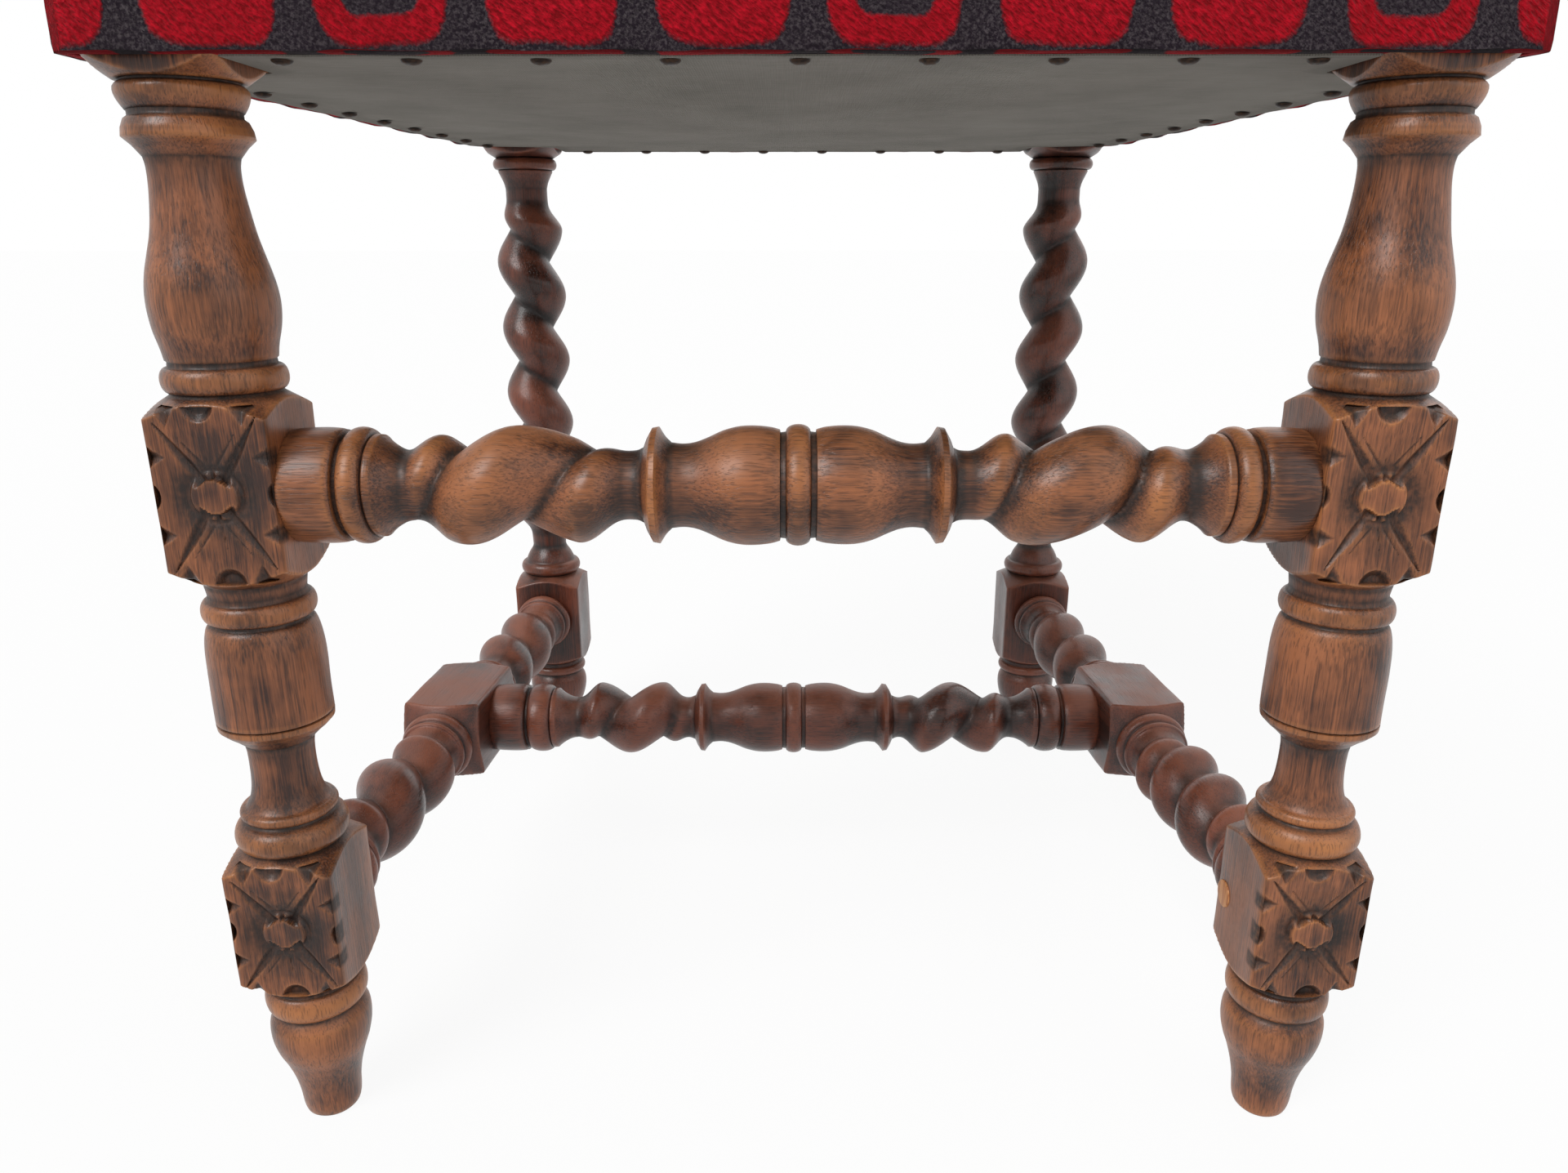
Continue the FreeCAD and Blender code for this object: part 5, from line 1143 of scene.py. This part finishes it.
def oak(name, pale, deep, pore_and_hollow_dark, rubbed, dust, gloss, coat, dusty):
    """Stained and waxed oak: fine open pores, a blotchy patina, rubbed edges, dark hollows
    and up-facing surfaces painted paler: partly dust and rubbing, partly painted light from above."""
    m = new_material(name)
    grain = add(m, "Attribute", out="Vector", attribute_name="grain")
    worn = add(m, "Attribute", out="Fac", attribute_name="worn")
    hollow = add(m, "Attribute", out="Fac", attribute_name="hollow")
    up_facing = add(m, "Attribute", out="Fac", attribute_name="dust")
    fibre_place = add(m, "Mapping", {
        "Vector": grain, "Scale": (1 / FIBRE_WIDTH, 1 / FIBRE_WIDTH, 1 / FIBRE_LENGTH)})
    fibres = add(m, "TexNoise", {"Vector": fibre_place, "Scale": 1.0, "Detail": 3.0,
                                 "Roughness": 0.6})
    figure_place = add(m, "Mapping", {
        "Vector": grain, "Scale": (1 / BOARD_FIGURE, 1 / BOARD_FIGURE, 6.0)})
    figure = add(m, "TexNoise", {"Vector": figure_place, "Scale": 1.0, "Detail": 2.0,
                                 "Distortion": 0.6})
    pore_place = add(m, "Mapping", {
        "Vector": grain, "Scale": (1 / PORE_WIDTH, 1 / PORE_WIDTH, 1 / PORE_LENGTH)})
    pore_noise = add(m, "TexNoise", {"Vector": pore_place, "Scale": 1.0, "Detail": 1.0})
    pores = add(m, "MapRange", {"Value": pore_noise, "From Min": 0.56, "From Max": 0.66})
    patches = add(m, "TexNoise", {"Vector": grain, "Scale": 1 / PATINA, "Detail": 4.0,
                                  "Roughness": 0.62})
    specks = add(m, "TexNoise", {"Vector": grain, "Scale": 420.0, "Detail": 3.0})
    tone = add(m, "Math", {0: fibres, 1: 0.42, 2: add(m, "Math", {
        0: figure, 1: 0.34, 2: add(m, "Math", {0: patches, 1: 0.62}, operation="MULTIPLY")},
        operation="MULTIPLY_ADD")}, operation="MULTIPLY_ADD")
    share = add(m, "MapRange", {"Value": tone, "From Min": 0.57, "From Max": 0.80})
    colour = add(m, "Mix", {0: share, 6: paint(deep), 7: paint(pale)}, 2, data_type="RGBA")
    rub_noise = add(m, "MapRange", {"Value": patches, "From Min": 0.36, "From Max": 0.62,
                                    "To Min": 0.15, "To Max": 0.85})
    rub = add(m, "Math", {0: worn, 1: rub_noise}, operation="MULTIPLY")
    colour = add(m, "Mix", {0: rub, 6: colour, 7: paint(rubbed)}, 2, data_type="RGBA")
    # Hollows and carved cuts are mixed towards the darkest colour.
    hollow_dark_noise = add(m, "MapRange", {"Value": specks, "From Min": 0.3, "From Max": 0.6,
                                     "To Min": 0.62, "To Max": 0.92})
    hollow_dark = add(m, "Math", {0: hollow, 1: hollow_dark_noise}, operation="MULTIPLY")
    colour = add(m, "Mix", {0: hollow_dark, 6: colour, 7: paint(pore_and_hollow_dark)}, 2, data_type="RGBA")
    pore_share = add(m, "Math", {0: pores, 1: 0.40}, operation="MULTIPLY")
    colour = add(m, "Mix", {0: pore_share, 6: colour, 7: paint(pore_and_hollow_dark)}, 2, data_type="RGBA")
    # Up-facing surfaces blend to a paler colour: partly dust and rubbing, partly painted light on
    # the tops. The dark oak's tops are lightened most.
    dust_noise = add(m, "MapRange", {"Value": patches, "From Min": 0.40, "From Max": 0.66,
                                     "To Min": 0.1 * dusty, "To Max": dusty})
    top_dust_and_light_mix = add(m, "Math", {0: up_facing, 1: dust_noise}, operation="MULTIPLY")
    colour = add(m, "Mix", {0: top_dust_and_light_mix, 6: colour, 7: paint(dust)}, 2, data_type="RGBA")
    dull = add(m, "Math", {0: top_dust_and_light_mix, 1: hollow_dark}, operation="MAXIMUM")
    handled = add(m, "MapRange", {"Value": patches, "From Min": 0.3, "From Max": 0.7,
                                  "To Min": gloss - 0.06, "To Max": gloss + 0.10})
    rough = add(m, "Math", {0: dull, 1: 0.25, 2: handled}, operation="MULTIPLY_ADD")
    relief = add(m, "Math", {0: fibres, 1: 0.35, 2: add(m, "Math", {
        0: specks, 1: 0.15, 2: add(m, "Math", {0: pores, 1: -0.5}, operation="MULTIPLY")},
        operation="MULTIPLY_ADD")}, operation="MULTIPLY_ADD")
    normal = add(m, "Bump", {"Height": relief, "Distance": 0.00016})
    shader = add(m, "BsdfPrincipled", {"Base Color": colour, "Roughness": rough, "Normal": normal,
                                       "Coat Weight": coat, "Coat Roughness": 0.24,
                                       "Specular IOR Level": 0.36})
    add(m, "OutputMaterial", {"Surface": shader}, None)
    return m


def beech(name, turn):
    """Planed beech, never stained: pale and even, with short dark flecks along the grain."""
    m = new_material(name)
    place = add(m, "TexCoord", out="Object")
    grain = add(m, "Mapping", {"Vector": place, "Rotation": turn})
    fleck_place = add(m, "Mapping", {"Vector": grain, "Scale": (1400.0, 1400.0, 300.0)})
    flecks = add(m, "TexNoise", {"Vector": fleck_place, "Scale": 1.0, "Detail": 1.0})
    fibre_place = add(m, "Mapping", {"Vector": grain, "Scale": (260.0, 260.0, 9.0)})
    fibres = add(m, "TexNoise", {"Vector": fibre_place, "Scale": 1.0, "Detail": 3.0})
    share = add(m, "MapRange", {"Value": fibres, "From Min": 0.3, "From Max": 0.7})
    colour = add(m, "Mix", {0: share, 6: paint("#b58a5a"), 7: paint("#d3ad7c")}, 2,
                 data_type="RGBA")
    dark = add(m, "MapRange", {"Value": flecks, "From Min": 0.62, "From Max": 0.70,
                               "To Max": 0.5})
    colour = add(m, "Mix", {0: dark, 6: colour, 7: paint("#7d5630")}, 2, data_type="RGBA")
    normal = add(m, "Bump", {"Height": fibres, "Distance": 0.0001})
    shader = add(m, "BsdfPrincipled", {"Base Color": colour, "Roughness": 0.62, "Normal": normal})
    add(m, "OutputMaterial", {"Surface": shader}, None)
    return m


# The seat's pattern: sizes of the motif, its spacing and its threads
MOTIF_HALF_WIDTH = 0.0212
MOTIF_HALF_HEIGHT = 0.0385
MOTIF_PITCH = 0.0534
MOTIF_ROW = 0.0900
MOTIF_START_X = -0.0240
MOTIF_BAND = 0.0080
MOTIF_ABOVE_FOLD = 0.0010
SQUARENESS = 5.5
YARN = 0.0011
TUFT_LENGTH = 0.0034


def seat_weave(name, fold):
    """Woven wool: upright red lozenges with soft corners on slate, every third an outline.
    Its yarns are drawn a little coarser than life, so that they show."""
    m = new_material(name)
    flat = add(m, "Attribute", out="Vector", attribute_name="cloth")
    drift = add(m, "TexNoise", {"Vector": flat, "Scale": 45.0, "Detail": 2.0}, "Color")
    drift = add(m, "VectorMath", {0: drift, 1: (0.5, 0.5, 0.5)}, operation="SUBTRACT")
    fray = add(m, "TexNoise", {"Vector": flat, "Scale": 700.0, "Detail": 1.0}, "Color")
    fray = add(m, "VectorMath", {0: fray, 1: (0.5, 0.5, 0.5)}, operation="SUBTRACT")
    wander = add(m, "VectorMath", {0: drift, 1: (0.0030, 0.0030, 0.0), 2: flat},
                 operation="MULTIPLY_ADD")
    wander = add(m, "VectorMath", {0: fray, 1: (0.0016, 0.0016, 0.0), 2: wander},
                 operation="MULTIPLY_ADD")
    parts = add(m, "SeparateXYZ", {"Vector": wander}, None)
    column = add(m, "Math", {0: parts["X"], 1: 1 / MOTIF_PITCH,
                             2: 0.5 - MOTIF_START_X / MOTIF_PITCH}, operation="MULTIPLY_ADD")
    centre_y = fold + MOTIF_ABOVE_FOLD + MOTIF_HALF_HEIGHT
    row = add(m, "Math", {0: parts["Y"], 1: 1 / MOTIF_ROW, 2: 0.5 - centre_y / MOTIF_ROW},
              operation="MULTIPLY_ADD")
    shapes = []
    for shrink in (0.0, MOTIF_BAND):
        powers = []
        for cell, pitch, half in ((column, MOTIF_PITCH, MOTIF_HALF_WIDTH - shrink),
                                  (row, MOTIF_ROW, MOTIF_HALF_HEIGHT - shrink)):
            inner = add(m, "Math", {0: cell}, operation="FRACT")
            away = add(m, "Math", {0: inner, 1: 0.5}, operation="SUBTRACT")
            away = add(m, "Math", {0: away}, operation="ABSOLUTE")
            away = add(m, "Math", {0: away, 1: pitch / half}, operation="MULTIPLY")
            powers.append(add(m, "Math", {0: away, 1: SQUARENESS}, operation="POWER"))
        total = add(m, "Math", {0: powers[0], 1: powers[1]}, operation="ADD")
        shapes.append(add(m, "MapRange", {"Value": total, "From Min": 1.12, "From Max": 0.88}))
    number = add(m, "Math", {0: column}, operation="FLOOR")
    number = add(m, "Math", {0: number, 1: 299.0}, operation="ADD")
    third = add(m, "Math", {0: number, 1: 3.0}, operation="MODULO")
    outlined = add(m, "Math", {0: third, 1: 0.5}, operation="LESS_THAN")
    core = add(m, "Math", {0: shapes[1], 1: outlined}, operation="MULTIPLY")
    motif = add(m, "Math", {0: shapes[0], 1: core}, operation="SUBTRACT", use_clamp=True)
    turned = add(m, "Mapping", {"Vector": flat, "Rotation": (0, 0, math.radians(38))})
    tuft_place = add(m, "Mapping", {"Vector": turned, "Scale": (1 / TUFT_LENGTH, 1 / YARN, 300.0)})
    tufts = add(m, "TexNoise", {"Vector": tuft_place, "Scale": 1.0, "Detail": 2.0,
                                "Roughness": 0.55})
    pile = add(m, "MapRange", {"Value": tufts, "From Min": 0.34, "From Max": 0.66})
    knots = add(m, "TexVoronoi", {"Vector": flat, "Scale": 1 / YARN / 1.3}, "Distance")
    speckle = add(m, "TexNoise", {"Vector": flat, "Scale": 800.0, "Detail": 2.0,
                                  "Roughness": 0.7})
    worn_patch = add(m, "TexNoise", {"Vector": flat, "Scale": 26.0, "Detail": 3.0})
    worn_share = add(m, "MapRange", {"Value": worn_patch, "From Min": 0.35, "From Max": 0.65,
                                     "To Max": 0.45})
    red = add(m, "Mix", {0: pile, 6: paint("#6e040c"), 7: paint("#b80e22")}, 2, data_type="RGBA")
    red = add(m, "Mix", {0: worn_share, 6: red, 7: paint("#8a0612")}, 2, data_type="RGBA")
    light_yarn = add(m, "MapRange", {"Value": speckle, "From Min": 0.44, "From Max": 0.66})
    slate = add(m, "Mix", {0: light_yarn, 6: paint("#201820"), 7: paint("#4d4649")}, 2,
                data_type="RGBA")
    slate = add(m, "Mix", {0: worn_share, 6: slate, 7: paint("#2b2228")}, 2, data_type="RGBA")
    colour = add(m, "Mix", {0: motif, 6: slate, 7: red}, 2, data_type="RGBA")
    yarns = add(m, "Math", {0: knots, 1: -0.5, 2: pile}, operation="MULTIPLY_ADD")
    height = add(m, "Math", {0: motif, 1: 0.9, 2: yarns}, operation="MULTIPLY_ADD")
    normal = add(m, "Bump", {"Height": height, "Distance": 0.0007})
    shader = add(m, "BsdfPrincipled", {"Base Color": colour, "Roughness": 0.9, "Normal": normal,
                                       "Sheen Weight": 0.03, "Sheen Roughness": 0.5,
                                       "Specular IOR Level": 0.1})
    add(m, "OutputMaterial", {"Surface": shader}, None)
    return m


def plain_weave(name, pale, deep, thread, mapped, relief, stained=0.5):
    """Plain woven cloth, warp over weft, with slubs and soft stains."""
    m = new_material(name)
    if mapped:
        flat = add(m, "Attribute", out="Vector", attribute_name="cloth")
    else:
        flat = add(m, "TexCoord", out="Object")
    waves = [add(m, "TexWave", {"Vector": flat, "Scale": 0.314 / thread, "Distortion": 1.5,
                                "Detail": 2.0, "Detail Scale": 1.5},
                 "Fac", wave_type="BANDS", bands_direction=way) for way in ("X", "Y")]
    weave = add(m, "Math", {0: waves[0], 1: waves[1]}, operation="MULTIPLY")
    slub_place = add(m, "Mapping", {"Vector": flat, "Scale": (60, 900, 60)})
    slubs = add(m, "TexNoise", {"Vector": slub_place, "Scale": 1.0})
    stains = add(m, "TexNoise", {"Vector": flat, "Scale": 14.0, "Detail": 4.0, "Roughness": 0.6})
    tone = add(m, "Math", {0: weave, 1: 0.35, 2: add(m, "Math", {
        0: slubs, 1: 0.4, 2: add(m, "Math", {0: stains, 1: stained}, operation="MULTIPLY")},
        operation="MULTIPLY_ADD")}, operation="MULTIPLY_ADD")
    share = add(m, "MapRange", {"Value": tone, "From Min": 0.34, "From Max": 0.86})
    colour = add(m, "Mix", {0: share, 6: paint(deep), 7: paint(pale)}, 2, data_type="RGBA")
    if mapped:
        hem = add(m, "Attribute", out="Fac", attribute_name="hem")
        hem = add(m, "Math", {0: hem, 1: 0.4}, operation="MULTIPLY")
        colour = add(m, "Mix", {0: hem, 6: colour, 7: paint(deep)}, 2, data_type="RGBA")
    normal = add(m, "Bump", {"Height": weave, "Distance": relief})
    shader = add(m, "BsdfPrincipled", {"Base Color": colour, "Roughness": 0.92, "Normal": normal,
                                       "Sheen Weight": 0.1, "Specular IOR Level": 0.2})
    add(m, "OutputMaterial", {"Surface": shader}, None)
    return m


def blued_steel(name):
    """Cut tacks of blued steel, rubbed brown on their domes."""
    m = new_material(name)
    place = add(m, "TexCoord", out="Object")
    spots = add(m, "TexNoise", {"Vector": place, "Scale": 700.0, "Detail": 3.0})
    share = add(m, "MapRange", {"Value": spots, "From Min": 0.42, "From Max": 0.62})
    colour = add(m, "Mix", {0: share, 6: paint("#241c19"), 7: paint("#4c3a2e")}, 2,
                 data_type="RGBA")
    rough = add(m, "MapRange", {"Value": spots, "From Min": 0.4, "From Max": 0.6,
                                "To Min": 0.45, "To Max": 0.7})
    normal = add(m, "Bump", {"Height": spots, "Distance": 0.0001})
    shader = add(m, "BsdfPrincipled", {"Base Color": colour, "Roughness": rough, "Normal": normal,
                                       "Metallic": 0.8})
    add(m, "OutputMaterial", {"Surface": shader}, None)
    return m


def fibre_fill(name):
    """Loose curled fibre under a thin layer of wadding."""
    m = new_material(name)
    place = add(m, "TexCoord", out="Object")
    curls = add(m, "TexNoise", {"Vector": place, "Scale": 240.0, "Detail": 6.0,
                                "Roughness": 0.7})
    share = add(m, "MapRange", {"Value": curls, "From Min": 0.35, "From Max": 0.65})
    colour = add(m, "Mix", {0: share, 6: paint("#9c8f78"), 7: paint("#d8cfba")}, 2,
                 data_type="RGBA")
    normal = add(m, "Bump", {"Height": curls, "Distance": 0.002})
    shader = add(m, "BsdfPrincipled", {"Base Color": colour, "Roughness": 0.95, "Normal": normal})
    add(m, "OutputMaterial", {"Surface": shader}, None)
    return m


def plug_face(name):
    """A newer plug of oak, oiled but never stained, its grain upright."""
    m = new_material(name)
    place = add(m, "TexCoord", out="Object")
    band_place = add(m, "Mapping", {"Vector": place, "Scale": (900, 900, 40)})
    bands = add(m, "TexNoise", {"Vector": band_place, "Scale": 1.0, "Detail": 3.0})
    share = add(m, "MapRange", {"Value": bands, "From Min": 0.35, "From Max": 0.65})
    colour = add(m, "Mix", {0: share, 6: paint("#93552a"), 7: paint("#c48a55")}, 2,
                 data_type="RGBA")
    normal = add(m, "Bump", {"Height": bands, "Distance": 0.0001})
    shader = add(m, "BsdfPrincipled", {"Base Color": colour, "Roughness": 0.5, "Normal": normal})
    add(m, "OutputMaterial", {"Surface": shader}, None)
    return m


def finish_piece(piece, material, slot, *replaced):
    piece.data.materials.clear()
    piece.data.materials.append(material)
    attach(piece, "root")
    if replaced:
        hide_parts(*replaced)


def dress_node(name, material):
    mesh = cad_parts[name].data
    mesh.materials.clear()
    mesh.materials.append(material)


# Making the chair

front_oak = oak("oak_stained_waxed", "#955a38", "#351a0f", "#140b07", "#b0713f", "#a88c74",
                gloss=0.36, coat=0.14, dusty=0.12)
# The rear legs and the side and cross stretchers take a darker oak: partly a darker polish, partly
# painted shade, because these pieces stand further from the light than the front legs and the front
# stretcher.
shaded_dark_oak = oak("oak_dark_polished_painted_shade", "#683423", "#1c0c08", "#0b0605", "#80452e", "#8c5844",
               gloss=0.30, coat=0.16, dusty=0.70)
for name, side in SIDES.items():
    finish_piece(front_leg(name, side), front_oak, "oak_front", "front_leg_" + name)
    finish_piece(rear_leg(name, side), shaded_dark_oak, "oak_dark", "rear_leg_" + name)
    finish_piece(side_stretcher(name, side), shaded_dark_oak, "oak_dark", "side_stretcher_" + name)
finish_piece(front_stretcher(), front_oak, "oak_front", "front_stretcher")
finish_piece(cross_stretcher(), shaded_dark_oak, "oak_dark", "cross_stretcher")
finish_piece(repair_plug(), plug_face("oak_plug_oiled"), "plug_wood", "repair_plug")

seat_fold = FRONT_Y - FRONT_SQUARE / 2 - SEAT_MARGIN - (SEAT_TOP - CLOTH_RIM - RAIL_LOW)
tapestry = seat_weave("wool_red_on_slate", seat_fold)
seat = seat_cloth()
finish_piece(seat, tapestry, "seat_cloth", "seat_cover")
back = back_cloth()
finish_piece(back, tapestry, "seat_cloth", "back_cover")
lining = plain_weave("cotton_lining_grey", "#86827a", "#5b574f", 0.0009, True, 0.0003, 0.75)
finish_piece(under_cloth(), lining, "dust_cloth", "dust_cloth")
finish_piece(outside_cloth(), lining, "dust_cloth", "back_outside_cloth")
blued = blued_steel("steel_blued")
under_spots = [Vector((s[0], s[1], RAIL_LOW - 0.0013)) for s in tack_places("dust_cloth_tacks")]
heads = tack_heads("under_cloth_tacks", under_spots, TACK_RADIUS, TACK_RISE,
                   Matrix.Rotation(math.pi, 4, "X"))
finish_piece(heads, blued, "tack_steel", "dust_cloth_tacks")
turn_back = BACK.to_3x3().to_4x4() @ Matrix.Rotation(-math.pi / 2, 4, "X")
back_spots = [BACK @ Vector((s.x, BACK_FACE + 0.0010, s.z)) for s in back_tack_spots()]
heads = tack_heads("outside_cloth_tacks", back_spots, TACK_RADIUS, TACK_RISE, turn_back)
finish_piece(heads, blued, "tack_steel", "back_cloth_tacks")

TURNS = {"X": (0, math.pi / 2, 0), "Y": (math.pi / 2, 0, 0), "Z": (0, 0, 0)}
planed = {way: beech("beech_planed_" + way.lower(), turn) for way, turn in TURNS.items()}
for name in ("seat_rail_front", "seat_rail_rear", "back_rail_lower", "back_rail_top"):
    dress_node(name, planed["X"])
for name in ("seat_rail_left", "seat_rail_right"):
    dress_node(name, planed["Y"])
for name in ("back_stile_left", "back_stile_right"):
    dress_node(name, planed["Z"])
for end in ("front", "rear"):
    for name in SIDES:
        dress_node("corner_block_%s_%s" % (end, name), planed["X"])
dress_node("corner_block_screws", blued)
jute = plain_weave("jute_webbing", "#b79c6e", "#7d6540", 0.0022, False, 0.0006)
hessian = plain_weave("jute_hessian", "#a98c5e", "#6d5534", 0.0016, False, 0.0005)
for name in ("webbing_front_to_back", "webbing_side_to_side", "back_webbing"):
    dress_node(name, jute)
for name in ("seat_hessian", "back_hessian"):
    dress_node(name, hessian)
wadding = fibre_fill("cotton_wadding")
for name in ("seat_stuffing", "back_stuffing"):
    dress_node(name, wadding)


# Floor, light and camera

def floor():
    """Pale floor: nearly white to the camera and in reflections, and it keeps the shadow."""
    select_none()
    bpy.ops.mesh.primitive_plane_add(size=60)
    plane = bpy.context.object
    plane.name = "floor"
    m = new_material("floor_pale")
    path = add(m, "LightPath", out=None)
    seen = add(m, "Math", {0: path["Is Camera Ray"], 1: 0.92}, operation="MULTIPLY")
    mirrored = add(m, "Math", {0: path["Is Glossy Ray"], 1: path["Is Transmission Ray"]},
                   operation="MAXIMUM")
    share = add(m, "Math", {0: seen, 1: mirrored}, operation="MAXIMUM")
    shade = add(m, "BsdfDiffuse", {"Color": (0.90, 0.90, 0.90, 1)})
    glow = add(m, "Emission", {"Color": (1, 1, 1, 1), "Strength": 1.0})
    both = add(m, "MixShader", {0: share, 1: shade, 2: glow})
    add(m, "OutputMaterial", {"Surface": both}, None)
    plane.data.materials.append(m)


def lamp(name, place, strength, angle, target=(0, 0, 0.25)):
    """A soft, distant lamp that shines from its place towards the chair."""
    data = bpy.data.lights.new(name, "SUN")
    data.energy = strength
    data.angle = math.radians(angle)
    piece = bpy.data.objects.new(name, data)
    bpy.context.scene.collection.objects.link(piece)
    piece.location = place
    piece.rotation_euler = (Vector(target) - Vector(place)).to_track_quat("-Z", "Y").to_euler()


def sky():
    """Even light from all round; white to the camera and in reflections."""
    world = bpy.data.worlds.new("studio")
    bpy.context.scene.world = world
    world.use_nodes = True
    world.node_tree.nodes.clear()
    path = add(world, "LightPath", out=None)
    seen = add(world, "Math", {0: path["Is Camera Ray"], 1: path["Is Transmission Ray"]},
               operation="MAXIMUM")
    seen = add(world, "Math", {0: seen, 1: path["Is Glossy Ray"]}, operation="MAXIMUM")
    strength = add(world, "MapRange", {"Value": seen, "To Min": 0.32, "To Max": 1.0})
    background = add(world, "Background", {"Color": (1, 1, 1, 1), "Strength": strength})
    add(world, "OutputWorld", {"Surface": background}, None)


def photo_camera():
    data = bpy.data.cameras.new("photo_camera")
    data.sensor_width = SENSOR_WIDTH
    data.lens = FOCAL_PIXELS * SENSOR_WIDTH / PHOTO_WIDTH
    data.clip_start = 0.01
    piece = bpy.data.objects.new("photo_camera", data)
    bpy.context.scene.collection.objects.link(piece)
    piece.location = (CAMERA_X, FRONT_Y - CAMERA_TO_FRONT_LEGS, CAMERA_HEIGHT)
    turn = (Matrix.Rotation(math.radians(CAMERA_YAW), 4, "Z")
            @ Matrix.Rotation(math.radians(90 - CAMERA_PITCH), 4, "X")
            @ Matrix.Rotation(math.radians(CAMERA_ROLL), 4, "Z"))
    piece.rotation_euler = turn.to_euler()
    bpy.context.scene.camera = piece


floor()
lamp("window", (-1.6, -1.9, 2.6), 2.1, 32)
lamp("fill", (1.9, -1.3, 1.3), 0.55, 60)
lamp("behind", (0.8, 2.2, 2.0), 0.50, 60)
sky()
photo_camera()
bpy.context.scene.view_settings.view_transform = "Standard"
